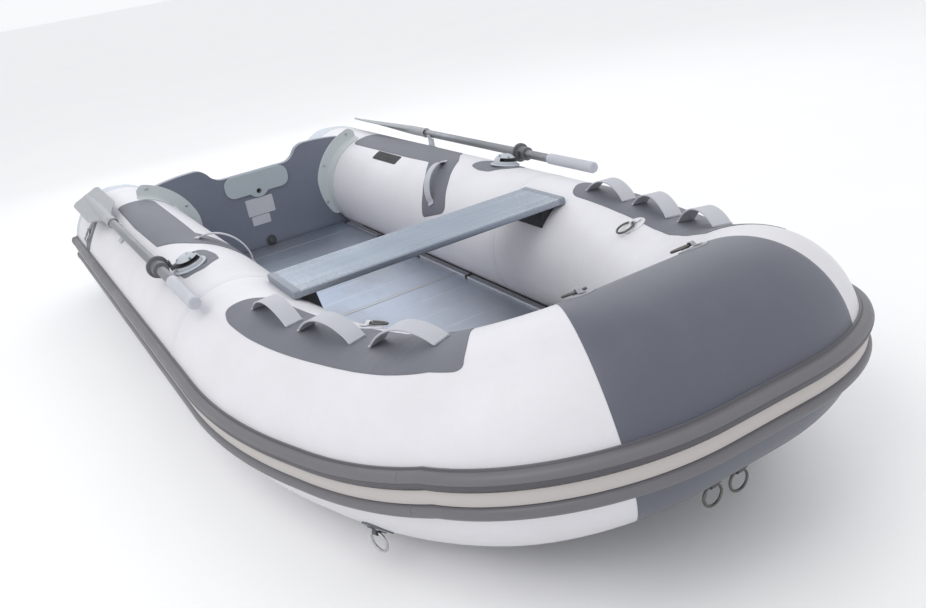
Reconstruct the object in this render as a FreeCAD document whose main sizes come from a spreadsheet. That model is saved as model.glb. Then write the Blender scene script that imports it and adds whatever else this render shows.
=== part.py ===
"""Inflatable dinghy with a roll-up aluminium floor, a bench, a pair of oars and a motor transom.

Frame: +X to the bow, +Y to port, +Z up, in millimetres.  The origin is the middle of the
boat's overall box, on the surface it stands on.  The hull is one tube of constant radius,
laid along a centreline of straight runs joined by tangent arcs: it starts at the starboard
stern, rounds the bow and comes back to the port stern.  Places on the tube are given by
the distance along the centreline from the transom, and by the angle round the tube,
which is 0 degrees straight outboard, 90 at the crown and 180 straight inboard.
"""
import FreeCAD
import Part
import Sketcher

import math
import os

SIZES = {
    # hull centreline and tube
    "transom_x": -1167.5, "tube_radius": 215, "tube_wall": 1.2, "half_spacing": 538,
    "bend_one_x": 1846, "bend_two_x": 2293, "bend_two_y": 409, "bend_two_z": 242,
    "bend_three_x": 2616, "bend_three_y": 279, "bend_three_z": 358, "bend_share": 0.48,
    "overhang": 330, "cone_length": 190, "cone_end_radius": 82, "cone_rise": 92, "cone_inset": 18,
    "bow_half_girth": 205, "skin_gap": 1.0, "patch_thick": 1.2, "bottom_thick": 2.4,
    # transom
    "board_thick": 30, "board_low": 32, "notch_z": 402, "notch_half": 142, "shoulder_z": 466,
    "shoulder_half": 250, "ear_z": 450, "ear_half": 425, "board_gap": 2,
    "pad_thick": 6, "pad_half": 146, "pad_high": 96, "pad_corner": 40, "pad_lobe_radius": 40,
    "pad_hole_radius": 7, "outer_pad_half": 130, "outer_pad_high": 150,
    "holder_flange": 52, "holder_thick": 5, "holder_collar": 52, "screw_radius": 6,
    "drain_z": 80, "drain_bore": 9, "drain_radius": 15, "drain_flange": 24,
    # floor
    "floor_top": 61, "floor_thick": 14, "panel_wall": 2, "floor_half": 358, "floor_aft": 14,
    "panel_long": 520,
    "joint_gap": 4, "bow_panel_long": 560, "bow_panel_half": 250,
    "stringer_aft": 66, "stringer_long": 1536, "stringer_in": 346, "stringer_out": 373,
    "stringer_low": 41, "stringer_top": 70, "stringer_slot": 15,
    # bench
    "bench_x": 1568, "bench_wide": 209, "bench_top": 432, "bench_half": 446, "bench_thick": 22,
    "bench_edge": 6, "bracket_long": 150, "bracket_in": 378,
    # oars and oarlocks
    "lock_x": 1140, "lock_angle": 78, "lock_radius": 42, "lock_high": 40, "lock_arm": 82,
    "lock_oar_high": 37, "lock_stroke": 140, "lock_pin": 5, "lock_slot_low": 15, "lock_slot_high": 27,
    "oar_radius": 15, "oar_wall": 1.5, "shaft_aft": 340, "shaft_fore": 1330, "grip_radius": 18.5,
    "grip_aft": 1296, "grip_fore": 1540, "blade_aft": -240, "blade_fore": 400, "blade_half": 66,
    "blade_thick": 5, "blade_tilt": 24, "collar_radius": 24, "collar_flange": 34,
    "collar_half": 21, "clip_x": 452,
    # rings, valves
    "ring_major": 24, "ring_minor": 3, "pad_disc": 34, "keeper_high": 10,
    "valve_x": 1092, "valve_radius": 22, "valve_cap_radius": 16,
}

STARBOARD, PORT = -1, 1
SIDES = {"starboard": STARBOARD, "port": PORT}
UP = FreeCAD.Vector(0, 0, 1)
CENTRE_GAP = 0.3
CHORD_ERROR = 0.4

doc = FreeCAD.newDocument("Dinghy")
sheet = doc.addObject("Spreadsheet::Sheet", "Sizes")
for row, (alias, value) in enumerate(SIZES.items(), start=1):
    sheet.set(f"A{row}", alias)
    sheet.set(f"B{row}", str(value))
    sheet.setAlias(f"B{row}", alias)
doc.recompute()
sub_parts = []


def size(alias):
    """Reads one driving dimension from the sheet."""
    return float(sheet.get(alias))


def along(distance):
    """X of a place a distance forward of the transom's inner face."""
    return size("transom_x") + distance


def vec(x, y, z):
    """Short form of a vector."""
    return FreeCAD.Vector(x, y, z)


def keep(obj, label):
    """Names a finished sub-part and lists it for checking and writing."""
    obj.Label = label
    sub_parts.append(obj)
    return obj


def feature(label, shape):
    """A sub-part whose shape comes from the hull path rather than a primitive."""
    obj = doc.addObject("Part::Feature", label)
    obj.Shape = shape
    obj.Placement = shape.Placement
    return keep(obj, label)


def bind(obj, **expressions):
    """Binds properties to sheet expressions; double underscores stand for dots."""
    for name, text in expressions.items():
        obj.setExpression(name.replace("__", "."), str(text))
    return obj


def cell(text):
    """Turns the alias names in an expression into references to the sheet."""
    words = []
    for word in text.split():
        words.append(f"Sizes.{word}" if word in SIZES else word)
    return " ".join(words)


def box(name, length, width, height, x, y, z):
    """A box by expressions: its three sizes and the position of its low corner."""
    obj = doc.addObject("Part::Box", name)
    bind(obj, Length=cell(length), Width=cell(width), Height=cell(height))
    bind(obj, Placement__Base__x=cell(x), Placement__Base__y=cell(y), Placement__Base__z=cell(z))
    return obj


def cylinder(name, radius, height, x, y, z, direction):
    """A cylinder by expressions, standing on a point and pointing in a direction."""
    obj = doc.addObject("Part::Cylinder", name)
    obj.Placement = FreeCAD.Placement(vec(0, 0, 0), FreeCAD.Rotation(UP, direction))
    bind(obj, Radius=cell(radius), Height=cell(height))
    bind(obj, Placement__Base__x=cell(x), Placement__Base__y=cell(y), Placement__Base__z=cell(z))
    return obj


def cut(name, base, tool):
    """The base with the tool taken out of it."""
    obj = doc.addObject("Part::Cut", name)
    obj.Base, obj.Tool = base, tool
    return obj


def fuse(name, *pieces):
    """Several touching pieces made into one."""
    obj = doc.addObject("Part::MultiFuse", name)
    obj.Shapes = list(pieces)
    return obj


def pad_body(label, plane_role, edges, length, offset):
    """A PartDesign body: a sketch on an origin plane, padded, and moved along X."""
    body = doc.addObject("PartDesign::Body", f"{label}_body")
    sketch = body.newObject("Sketcher::SketchObject", f"{label}_sketch")
    planes = [item for item in body.Origin.OriginFeatures if item.Role == plane_role]
    sketch.AttachmentSupport = (planes[0], [""])
    sketch.MapMode = "FlatFace"
    sketch.addGeometry(edges, False)
    doc.recompute()
    pad = body.newObject("PartDesign::Pad", f"{label}_pad")
    pad.Profile = sketch
    bind(pad, Length=cell(length))
    bind(body, Placement__Base__x=cell(offset))
    doc.recompute()
    return body


# --- the hull's centreline -------------------------------------------------------------

class Centreline:
    """Straight runs joined by tangent arcs, from the starboard stern round to the port stern."""

    def __init__(self):
        corners = []
        for sign in (STARBOARD, PORT):
            side = [vec(along(-size("overhang")), sign * size("half_spacing"), size("tube_radius")),
                    vec(along(size("bend_one_x")), sign * size("half_spacing"), size("tube_radius")),
                    vec(along(size("bend_two_x")), sign * size("bend_two_y"), size("bend_two_z")),
                    vec(along(size("bend_three_x")), sign * size("bend_three_y"),
                        size("bend_three_z"))]
            corners += side if sign == STARBOARD else side[::-1]
        self.pieces = []
        here = corners[0]
        for before, corner, after in zip(corners, corners[1:], corners[2:]):
            into = (corner - before).normalize()
            out = (after - corner).normalize()
            reach = size("bend_share") * min((corner - before).Length, (after - corner).Length)
            turn = into.getAngle(out)
            radius = reach / math.tan(turn / 2)
            start, end = corner - into * reach, corner + out * reach
            centre = corner + (out - into).normalize() * (radius / math.cos(turn / 2))
            self.pieces.append(("line", here, start, (start - here).Length))
            self.pieces.append(("arc", start, end, radius * turn, centre, into))
            here = end
        self.pieces.append(("line", here, corners[-1], (corners[-1] - here).Length))
        self.length = sum(piece[3] for piece in self.pieces)

    def locate(self, travel):
        """Position and direction at a distance along the whole line."""
        for piece in self.pieces:
            if travel <= piece[3] or piece is self.pieces[-1]:
                break
            travel -= piece[3]
        if piece[0] == "line":
            direction = (piece[2] - piece[1]).normalize()
            return piece[1] + direction * travel, direction
        arm = piece[1] - piece[4]
        angle = travel / arm.Length
        spot = piece[4] + arm * math.cos(angle) + piece[5] * (arm.Length * math.sin(angle))
        direction = piece[5] * math.cos(angle) - arm * (math.sin(angle) / arm.Length)
        return spot, direction.normalize()

    def wire(self, start, end):
        """The part of the line between two distances, as lines and arcs."""
        edges, passed = [], 0.0
        for piece in self.pieces:
            low, high = max(start, passed), min(end, passed + piece[3])
            if high - low > 0.01:
                first, last = self.locate(low)[0], self.locate(high)[0]
                if piece[0] == "line":
                    edges.append(Part.LineSegment(first, last).toShape())
                else:
                    middle = self.locate((low + high) / 2)[0]
                    edges.append(Part.Arc(first, middle, last).toShape())
            passed += piece[3]
        return Part.Wire(edges)

    def stations(self, start, end):
        """Distances whose chords stay within CHORD_ERROR of the tube's outer side."""
        marks, passed = {start, end}, 0.0
        for piece in self.pieces:
            if piece[0] == "arc":
                radius = (piece[1] - piece[4]).Length
                step = 2 * math.acos(1 - CHORD_ERROR / (radius + size("tube_radius")))
                parts = math.ceil(piece[3] / radius / step)
                marks |= {passed + piece[3] * part / parts for part in range(parts + 1)}
            passed += piece[3]
        return sorted(mark for mark in marks if start <= mark <= end)


line = Centreline()
tube_radius = size("tube_radius")
stern_start = size("overhang")


def travel_at(distance, sign):
    """Whole-line distance of a place that lies a distance forward of the transom."""
    return stern_start + distance if sign == STARBOARD else line.length - stern_start - distance


def axes_at(travel):
    """Centre, direction along the tube, outboard and upward unit vectors."""
    spot, direction = line.locate(travel)
    outboard = direction.cross(UP).normalize()
    return spot, direction, outboard, outboard.cross(direction).normalize()


def on_tube(travel, angle, radius):
    """A point at an angle round the tube and a radius from its centre."""
    spot, _, outboard, upward = axes_at(travel)
    turn = math.radians(angle)
    return spot + outboard * (radius * math.cos(turn)) + upward * (radius * math.sin(turn))


def tube(start, end, radius, wall):
    """A hollow tube along the centreline."""
    spot, direction, _, _ = axes_at(start)
    path = line.wire(start, end)
    outer, inner = (path.makePipe(Part.Face(Part.Wire(Part.Circle(spot, direction, reach).toShape())))
                    for reach in (radius, radius - wall))
    return outer.cut(inner).Solids[0]


def wrapped(start, end, outline):
    """A solid that follows the tube; the outline is a list of (angle, height above the tube)."""
    wires = []
    for travel in line.stations(start, end):
        points = [on_tube(travel, angle, tube_radius + high) for angle, high in outline]
        wires.append(Part.makePolygon(points + points[:1]))
    return Part.makeLoft(wires, True, True)


def sheet_outline(low_angle, high_angle, gap, thick):
    """The section of a thin sheet laid on the tube between two angles."""
    count = max(2, math.ceil(abs(high_angle - low_angle) / 6))
    angles = [low_angle + (high_angle - low_angle) * i / count for i in range(count + 1)]
    return [(angle, gap) for angle in angles] + [(angle, gap + thick) for angle in angles[::-1]]


def span(sign, aft, fore):
    """Start and end distances on the whole line for a stretch of one side."""
    return sorted((travel_at(aft, sign), travel_at(fore, sign)))


def local_placement(travel, angle, high=0.0):
    """A frame on the tube: x along the boat's tube, z away from the tube's surface."""
    spot, direction, outboard, upward = axes_at(travel)
    turn = math.radians(angle)
    normal = outboard * math.cos(turn) + upward * math.sin(turn)
    side = normal.cross(direction)
    rotation = FreeCAD.Rotation(direction, side, normal, "ZXY")
    return FreeCAD.Placement(spot + normal * (tube_radius + high), rotation)


# --- hull ------------------------------------------------------------------------------

def build_tubes():
    """Both white side tubes, the dark bow section, the stern cones and the inner baffles."""
    half = line.length / 2
    wall = size("tube_wall")
    seam = half - size("bow_half_girth")
    gap = CENTRE_GAP / 2
    feature("tube_starboard", tube(0, seam - gap, tube_radius, wall))
    feature("tube_port", tube(line.length - seam + gap, line.length, tube_radius, wall))
    feature("tube_bow", tube(seam + gap, line.length - seam - gap, tube_radius, wall))
    cones = []
    for sign in SIDES.values():
        shells = []
        for inset in (0.0, wall):
            wires = []
            for share in (0.0, 0.35, 0.7, 1.0):
                taper = share * share
                radius = tube_radius - (tube_radius - size("cone_end_radius")) * taper - inset
                middle = vec(along(-stern_start - CENTRE_GAP - share * size("cone_length")
                                   + (inset if share == 1.0 else 0.0)),
                             sign * (size("half_spacing") - size("cone_inset") * taper),
                             tube_radius + size("cone_rise") * taper)
                wires.append(Part.Wire(Part.Circle(middle, vec(-1, 0, 0), radius).toShape()))
            shells.append(Part.makeLoft(wires, True, False))
        cones.append(shells[0].cut(shells[1]))
    feature("stern_cones", Part.makeCompound(cones))
    baffles = []
    for sign in SIDES.values():
        spot, direction, _, _ = axes_at(travel_at(size("valve_x") + 300, sign))
        baffles.append(Part.makeCylinder(tube_radius - wall - CENTRE_GAP, wall, spot, direction))
    feature("chamber_baffles", Part.makeCompound(baffles))


STRAKE_SECTION = [(14.4, 1.0), (13.4, 11), (11.2, 21), (8.6, 25), (6.2, 21), (4.2, 9), (-4.2, 9),
                  (-5.6, 18), (-8.0, 22), (-10.4, 17), (-12.1, 1.0), (-7.0, 1.0), (-2.0, 1.0),
                  (3.0, 1.0), (8.0, 1.0)]
STRIPE_SECTION = [(3.6, 9.4), (3.6, 12.0), (0.0, 13.2), (-3.6, 12.0), (-3.6, 9.4)]


def build_strakes():
    """The double-bead rubbing strake round the whole boat, and the pale strip in its groove."""
    seam = line.length / 2 - size("bow_half_girth") - 260
    feature("strake_starboard", wrapped(0, seam - CENTRE_GAP, STRAKE_SECTION))
    feature("strake_bow", wrapped(seam, line.length - seam, STRAKE_SECTION))
    feature("strake_port", wrapped(line.length - seam + CENTRE_GAP, line.length, STRAKE_SECTION))
    feature("strake_stripe", wrapped(0, line.length, STRIPE_SECTION))


def build_bottom():
    """The fabric bottom between the tubes, the inflated keel on it and its wear strip."""
    gap, thick = size("skin_gap"), size("bottom_thick")
    half = line.length / 2
    wires, keel = [], []
    for travel in line.stations(travel_at(4, STARBOARD), half - 140):
        edge = on_tube(travel, -110, tube_radius + gap)
        keel_z = max(edge.z - 9, thick + 1.6)
        keel.append((edge.x, keel_z))
        top = [vec(edge.x, edge.y, edge.z), vec(edge.x, 0, keel_z), vec(edge.x, -edge.y, edge.z)]
        low = [point - vec(0, 0, thick) for point in top[::-1]]
        wires.append(Part.makePolygon(top + low + top[:1]))
    feature("hull_bottom", Part.makeLoft(wires, True, True))
    keel_top = size("floor_top") - size("floor_thick") - 1
    sections = []
    low_aft = keel[0][1] + 3
    stations = [(along(60), 20, keel_top - 8, low_aft + 5), (along(160), 62, keel_top, low_aft),
                (along(1750), 62, keel_top, low_aft), (along(1960), 30, keel_top, low_aft + 8)]
    for x, half_wide, top, low in stations:
        middle, high = (top + low) / 2, (top - low) / 2
        points = [vec(x, half_wide * math.cos(math.radians(turn)),
                      middle + high * math.sin(math.radians(turn))) for turn in range(0, 360, 30)]
        sections.append(Part.makePolygon(points + points[:1]))
    feature("keel_tube", Part.makeLoft(sections, True, True))


# --- transom ---------------------------------------------------------------------------

def tube_arc(angles, clearance, sign):
    """Three points of the straight tube's outline in the YZ plane, as (y, z)."""
    reach = tube_radius + clearance
    return [(sign * (size("half_spacing") + reach * math.cos(math.radians(angle))),
             tube_radius + reach * math.sin(math.radians(angle))) for angle in angles]


def flat_edges(steps):
    """Sketch edges from a chain of steps: a point for a line, two points for an arc."""
    edges, here = [], steps[0][-1]
    for step in steps[1:]:
        spots = [vec(u, v, 0) for u, v in (here,) + tuple(step)]
        edges.append(Part.LineSegment(*spots) if len(spots) == 2 else Part.Arc(*spots))
        here = step[-1]
    return edges


def board_steps():
    """The transom board's outline, from the starboard foot over the top and back."""
    reach = tube_radius + size("board_gap")
    ear = math.degrees(math.acos((size("ear_half") - size("half_spacing")) / reach))
    foot = math.degrees(math.asin((tube_radius - size("board_low")) / reach)) - 180
    star = tube_arc((foot, -180, ear - 360), size("board_gap"), STARBOARD)
    port = tube_arc((ear, 180, 360 + foot), size("board_gap"), PORT)
    slope = (size("notch_half") + size("shoulder_half")) / 2
    mid_z = (size("notch_z") + size("shoulder_z")) / 2
    top = []
    for sign in (STARBOARD, PORT):
        half = [((sign * size("ear_half"), size("ear_z")),),
                ((sign * 330, size("shoulder_z") - 3),
                 (sign * size("shoulder_half"), size("shoulder_z"))),
                ((sign * (slope + 26), mid_z + 24), (sign * slope, mid_z)),
                ((sign * (slope - 26), mid_z - 24), (sign * size("notch_half"), size("notch_z")))]
        top.append(half)
    forward = list(top[0])
    back = [((PORT * (slope - 26), mid_z - 24), (PORT * slope, mid_z)),
            ((PORT * (slope + 26), mid_z + 24), (PORT * size("shoulder_half"), size("shoulder_z"))),
            ((PORT * 330, size("shoulder_z") - 3), (PORT * size("ear_half"), size("ear_z")))]
    notch = [((PORT * size("notch_half"), size("notch_z")),)]
    return ([(star[0],), (star[1], star[2])] + forward + notch + back
            + [(port[0],), (port[1], port[2]), (star[0],)])


def build_transom():
    """The plywood board, both motor pads, the tube holders, screws, drain and blank labels."""
    board = pad_body("transom_blank", "YZ_Plane", flat_edges(board_steps()), "board_thick",
                     "transom_x - board_thick")
    bore = cylinder("drain_way", "drain_radius + 0.5", "board_thick + 20",
                    "transom_x - board_thick - 10", "0", "drain_z", vec(1, 0, 0))
    drilled = cut("transom_drilled", board, bore)
    way = cylinder("safety_way", "pad_hole_radius", "board_thick + 20",
                   "transom_x - board_thick - 10", "0", "notch_z - pad_high + 8", vec(1, 0, 0))
    keep(cut("transom_cut", drilled, way), "transom_board")
    half, corner = size("pad_half"), size("pad_corner")
    top, low = size("notch_z") - 1, size("notch_z") - size("pad_high")
    bend = corner * (1 - math.sqrt(0.5))
    lobe = size("pad_lobe_radius")
    inner = [((-half + corner, top),), ((half - corner, top),),
             ((half - bend, top - bend), (half, top - corner)), ((half, low + corner),),
             ((half - bend, low + bend), (half - corner, low)), ((lobe, low),),
             ((0, low - lobe / 2), (-lobe, low)), ((-half + corner, low),),
             ((-half + bend, low + bend), (-half, low + corner)), ((-half, top - corner),),
             ((-half + bend, top - bend), (-half + corner, top))]
    pad = pad_body("inner_pad_blank", "YZ_Plane", flat_edges(inner), "pad_thick",
                   "transom_x + 0.3")
    hole = cylinder("pad_hole", "pad_hole_radius", "pad_thick + 2", "transom_x - 1", "0",
                    "notch_z - pad_high + 8", vec(1, 0, 0))
    keep(cut("pad_cut", pad, hole), "motor_pad_inner")
    outer = box("outer_pad", "pad_thick", "2 * outer_pad_half", "outer_pad_high",
                "transom_x - board_thick - pad_thick - 0.3", "- outer_pad_half",
                "notch_z - outer_pad_high - 2")
    through = cylinder("outer_pad_hole", "pad_hole_radius", "pad_thick + 2",
                       "transom_x - board_thick - pad_thick - 1", "0",
                       "notch_z - pad_high + 8", vec(1, 0, 0))
    keep(cut("outer_pad_cut", outer, through), "motor_pad_outer")
    holders, screws = [], []
    for sign in SIDES.values():
        middle = vec(along(0), sign * size("half_spacing"), tube_radius)
        spin = FreeCAD.Rotation(vec(0, 0, 1), vec(1, 0, 0))
        reach = tube_radius + size("skin_gap")
        thick, collar = size("holder_thick"), size("holder_collar")
        first = 100 if sign == PORT else 80 - 108
        pieces = []
        for start, long, outer_r in ((0.4, thick, reach + size("holder_flange")),
                                     (0.4 + thick - 0.01, collar, reach + 3)):
            ring = Part.makeCylinder(outer_r, long).cut(Part.makeCylinder(reach, long))
            wedge = Part.makeCylinder(outer_r + 10, long, vec(0, 0, 0), UP, 108)
            wedge.rotate(vec(0, 0, 0), UP, first)
            sector = ring.common(wedge)
            matrix = FreeCAD.Matrix(0, 0, 1, 0, 1, 0, 0, 0, 0, 1, 0, 0, 0, 0, 0, 1)
            sector = sector.transformGeometry(matrix)
            sector.translate(middle + vec(start, 0, 0))
            pieces.append(sector)
        holders.append(pieces[0].fuse(pieces[1]).removeSplitter())
        for angle in (108, 150, 190):
            y, z = tube_arc((angle,), size("holder_flange") - 16, sign)[0]
            spot = vec(along(0.4 + thick + 0.2), y, z)
            screws.append(Part.makeCylinder(size("screw_radius"), 2.5, spot, vec(1, 0, 0)))
    feature("transom_holders", Part.makeCompound(holders))
    feature("transom_screws", Part.makeCompound(screws))
    sleeve = cylinder("drain_sleeve", "drain_radius", "board_thick + 8",
                      "transom_x - board_thick - 4", "0", "drain_z", vec(1, 0, 0))
    flange = cylinder("drain_rim", "drain_flange", "4", "transom_x + 0.4", "0", "drain_z",
                      vec(1, 0, 0))
    bore = cylinder("drain_bore_tool", "drain_bore + 0.4", "board_thick + 40",
                    "transom_x - board_thick - 20", "0", "drain_z", vec(1, 0, 0))
    keep(cut("drain_cut", fuse("drain_solid", sleeve, flange), bore), "drain_body")
    stem = cylinder("plug_stem", "drain_bore", "board_thick - 4", "transom_x - board_thick + 8",
                    "0", "drain_z", vec(1, 0, 0))
    knob = cylinder("plug_knob", "drain_radius - 1", "9", "transom_x + 4.8", "0", "drain_z",
                    vec(1, 0, 0))
    keep(fuse("plug", stem, knob), "drain_plug")
    label = Part.makeBox(1.0, 126, 120, vec(along(0.4), -72, 164))
    start, end = span(PORT, 348, 560)
    plate = wrapped(start, end, sheet_outline(111, 125, size("skin_gap"), 1.2))
    feature("blank_labels", Part.makeCompound([label, plate]))


# --- floor and bench -------------------------------------------------------------------

def build_floor():
    """Three aluminium panels, the tapered bow panel, their joints and both side stringers."""
    step = "( panel_long + joint_gap )"
    for index, name in enumerate(("floor_aft", "floor_mid", "floor_fore")):
        panel = box(f"{name}_box", "panel_long", "2 * floor_half", "floor_thick",
                    f"transom_x + floor_aft + {index} * {step}", "- floor_half",
                    "floor_top - floor_thick")
        cells = []
        for part in range(5):
            cells.append(box(f"{name}_cell_{part}", "( panel_long - 8 ) / 5 - 4",
                             "2 * floor_half + 2", "floor_thick - 2 * panel_wall",
                             f"transom_x + floor_aft + {index} * {step} + 6"
                             f" + {part} * ( panel_long - 8 ) / 5",
                             "- floor_half - 1", "floor_top - floor_thick + panel_wall"))
        keep(cut(f"{name}_extrusion", panel, fuse(f"{name}_cells", *cells)), name)
    joints = []
    for index in (1, 2, 3):
        start = along(size("floor_aft") + index * (size("panel_long") + size("joint_gap")))
        start -= size("joint_gap") - CENTRE_GAP
        wide = size("joint_gap") - 2 * CENTRE_GAP
        inner = 2 * size("stringer_in") - 4
        low = size("floor_top") - size("floor_thick")
        web = Part.makeBox(wide, inner, size("floor_thick"), vec(start, -inner / 2, low))
        cap = Part.makeBox(wide + 16, inner, 1.5,
                           vec(start - 8, -inner / 2, size("floor_top") + CENTRE_GAP))
        stem = Part.makeBox(wide, inner, CENTRE_GAP + 0.5,
                            vec(start, -inner / 2, size("floor_top") - 0.1))
        joints.append(web.fuse(stem).fuse(cap).removeSplitter())
    feature("floor_joints", Part.makeCompound(joints))
    bow_aft = size("floor_aft") + 3 * (size("panel_long") + size("joint_gap"))
    fore = bow_aft + size("bow_panel_long")
    wide, narrow = size("stringer_in") - 6, size("bow_panel_half")
    steps = [((along(bow_aft), -wide),), ((along(1900), -wide + 18),),
             ((along(2080), -narrow),), ((along(fore - 40), -narrow + 130),),
             ((along(fore), 0), (along(fore - 40), narrow - 130)), ((along(2080), narrow),),
             ((along(1900), wide - 18),), ((along(bow_aft), wide),), ((along(bow_aft), -wide),)]
    body = pad_body("bow_panel", "XY_Plane", flat_edges(steps), "floor_thick", "0")
    bind(body, Placement__Base__z=cell("floor_top - floor_thick"))
    middle = (along(bow_aft) + along(fore)) / 2
    inset = []
    for step_points in steps:
        inset.append(tuple((middle + (x - middle) * 0.93, y * 0.93) for x, y in step_points))
    pocket = pad_body("bow_pocket", "XY_Plane", flat_edges(inset), "floor_thick", "0")
    bind(pocket, Placement__Base__z=cell("floor_top - floor_thick - 2 * panel_wall"))
    keep(cut("bow_tray", body, pocket), "floor_bow")
    ends = []
    for name, sign in SIDES.items():
        low_y = "stringer_in" if sign == PORT else "- stringer_out"
        slot_y = "stringer_in - 1" if sign == PORT else "- stringer_in - stringer_slot"
        rail = box(f"stringer_{name}_bar", "stringer_long", "stringer_out - stringer_in",
                   "stringer_top - stringer_low", "transom_x + stringer_aft", low_y,
                   "stringer_low")
        slot = box(f"stringer_{name}_slot", "stringer_long + 2", "stringer_slot + 1",
                   "floor_thick + 1", "transom_x + stringer_aft - 1", slot_y,
                   "floor_top - floor_thick - 0.5")
        keep(cut(f"stringer_{name}_cut", rail, slot), f"stringer_{name}")
        for start, long in ((stringer_end(), 42), (size("stringer_aft") - 30, 29)):
            low = min(sign * size("stringer_in"), sign * (size("stringer_out")))
            ends.append(Part.makeBox(long, size("stringer_out") - size("stringer_in") - 14,
                                     size("stringer_top") - size("floor_top") + 8,
                                     vec(along(start), low + (14 if sign == PORT else 0),
                                         size("floor_top") - 6)))
    feature("stringer_ends", Part.makeCompound(ends))


def stringer_end():
    """Distance forward of the transom at which the stringers stop."""
    return size("stringer_aft") + size("stringer_long") + 0.5


def build_bench():
    """The bench plank and the two rubber brackets that it rests on."""
    plank = box("bench_plank", "bench_wide", "2 * bench_half", "bench_thick",
                "transom_x + bench_x - bench_wide / 2", "- bench_half",
                "bench_top - bench_thick")
    doc.recompute()
    rounded = doc.addObject("Part::Fillet", "bench_rounded")
    rounded.Base = plank
    long_edges = [index for index, edge in enumerate(plank.Shape.Edges, start=1)
                  if abs(edge.tangentAt(edge.FirstParameter).y) > 0.99]
    rounded.Edges = [(index, size("bench_edge"), size("bench_edge")) for index in long_edges]
    hollow = []
    for part, side in enumerate(("transom_x + bench_x - bench_wide / 2 + 4",
                                 "transom_x + bench_x + 2")):
        hollow.append(box(f"bench_cell_{part}", "bench_wide / 2 - 6", "2 * bench_half + 2",
                          "bench_thick - 6", side, "- bench_half - 1",
                          "bench_top - bench_thick + 3"))
    keep(cut("bench_extrusion", rounded, fuse("bench_cells", *hollow)), "bench_board")
    brackets = []
    low = size("bench_top") - size("bench_thick") - CENTRE_GAP
    for sign in SIDES.values():
        long, inner = size("bracket_long"), size("bracket_in")
        outer = size("bench_half") - 4
        steps = [(inner, low), (outer, low), (outer, low - 60), (inner - 10, low - 60)]
        points = [vec(along(size("bench_x") - long / 2), sign * y, z) for y, z in steps]
        block = Part.Face(Part.makePolygon(points + points[:1])).extrude(vec(long, 0, 0))
        hull = Part.makeCylinder(tube_radius + size("skin_gap"), long + 20,
                                 vec(along(size("bench_x") - long / 2 - 10),
                                     sign * size("half_spacing"), tube_radius), vec(1, 0, 0))
        wedge = block.cut(hull)
        brackets.append(max(wedge.Solids, key=lambda solid: solid.Volume))
    feature("bench_brackets", Part.makeCompound(brackets))


# --- patches, handles, labels ----------------------------------------------------------

HANDLES = ((1692, 1884, 0), (1947, 2140, 1), (2226, 2458, 6))
HANDLE_ANGLE, HANDLE_WIDE, HANDLE_HIGH, STRAP = 88.5, 48, 54, 3.5
CARRY_X, CARRY_ANGLE, CARRY_REACH, CARRY_WIDE, CARRY_HIGH = 915, 128, 70, 30, 44
CARRY_SLANT, CARRY_LIFT = 30, -6.4


def strap_arch(reach, wide, high, foot):
    """An arched strap lying along x, with flat feet, on the plane z = 0."""
    lift = 3.2
    outer = [(-reach, lift + STRAP), (0, high), (reach, lift + STRAP)]
    inner = [(reach - STRAP * 1.6, lift), (0, high - STRAP), (-reach + STRAP * 1.6, lift)]
    curve = [vec(u, -wide / 2, v) for u, v in outer]
    under = [vec(u, -wide / 2, v) for u, v in inner]
    toes = [vec(reach + foot, -wide / 2, lift + STRAP), vec(reach + foot, -wide / 2, lift)]
    heels = [vec(-reach - foot, -wide / 2, lift), vec(-reach - foot, -wide / 2, lift + STRAP)]
    edges = [Part.Arc(*curve).toShape(), Part.LineSegment(curve[2], toes[0]).toShape(),
             Part.LineSegment(*toes).toShape(), Part.LineSegment(toes[1], under[0]).toShape(),
             Part.Arc(*under).toShape(), Part.LineSegment(under[2], heels[0]).toShape(),
             Part.LineSegment(*heels).toShape(), Part.LineSegment(heels[1], curve[0]).toShape()]
    return Part.Face(Part.Wire(edges)).extrude(vec(0, wide, 0))


def build_patches_and_handles():
    """Dark wear patches on the tubes and the strap handles on them."""
    gap, thick = size("skin_gap"), size("patch_thick")
    top, long = [], []
    carry = []
    for name, sign in SIDES.items():
        start, end = span(sign, 120, 800)
        top.append(wrapped(start, end, sheet_outline(73, 110, gap, thick)))
        start, end = span(sign, 800 + CENTRE_GAP, 1000)
        top.append(wrapped(start, end, sheet_outline(73, 160, gap, thick)))
        start, end = span(sign, 1040, 1230)
        top.append(wrapped(start, end, sheet_outline(68, 98, gap, thick)))
        start, end = span(sign, 1620, 2540)
        long.append(wrapped(start, end, sheet_outline(66, 103, gap, thick)))
        straps = []
        for aft, fore, lift in HANDLES:
            spot = local_placement(travel_at((aft + fore) / 2, sign), HANDLE_ANGLE, lift)
            strap = strap_arch((fore - aft) / 2, HANDLE_WIDE, HANDLE_HIGH, 6)
            strap.Placement = spot
            straps.append(strap)
        feature(f"grab_handles_{name}", Part.makeCompound(straps))
        spot = local_placement(travel_at(CARRY_X, sign), CARRY_ANGLE, CARRY_LIFT)
        turn = FreeCAD.Placement(vec(0, 0, 0), FreeCAD.Rotation(UP, 90 + sign * CARRY_SLANT))
        strap = strap_arch(CARRY_REACH, CARRY_WIDE, CARRY_HIGH, 6)
        strap.Placement = spot.multiply(turn)
        carry.append(strap)
    feature("side_patches", Part.makeCompound(top))
    feature("handle_patches", Part.makeCompound(long))
    feature("carry_handles", Part.makeCompound(carry))


# --- oarlocks and oars -----------------------------------------------------------------

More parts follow.
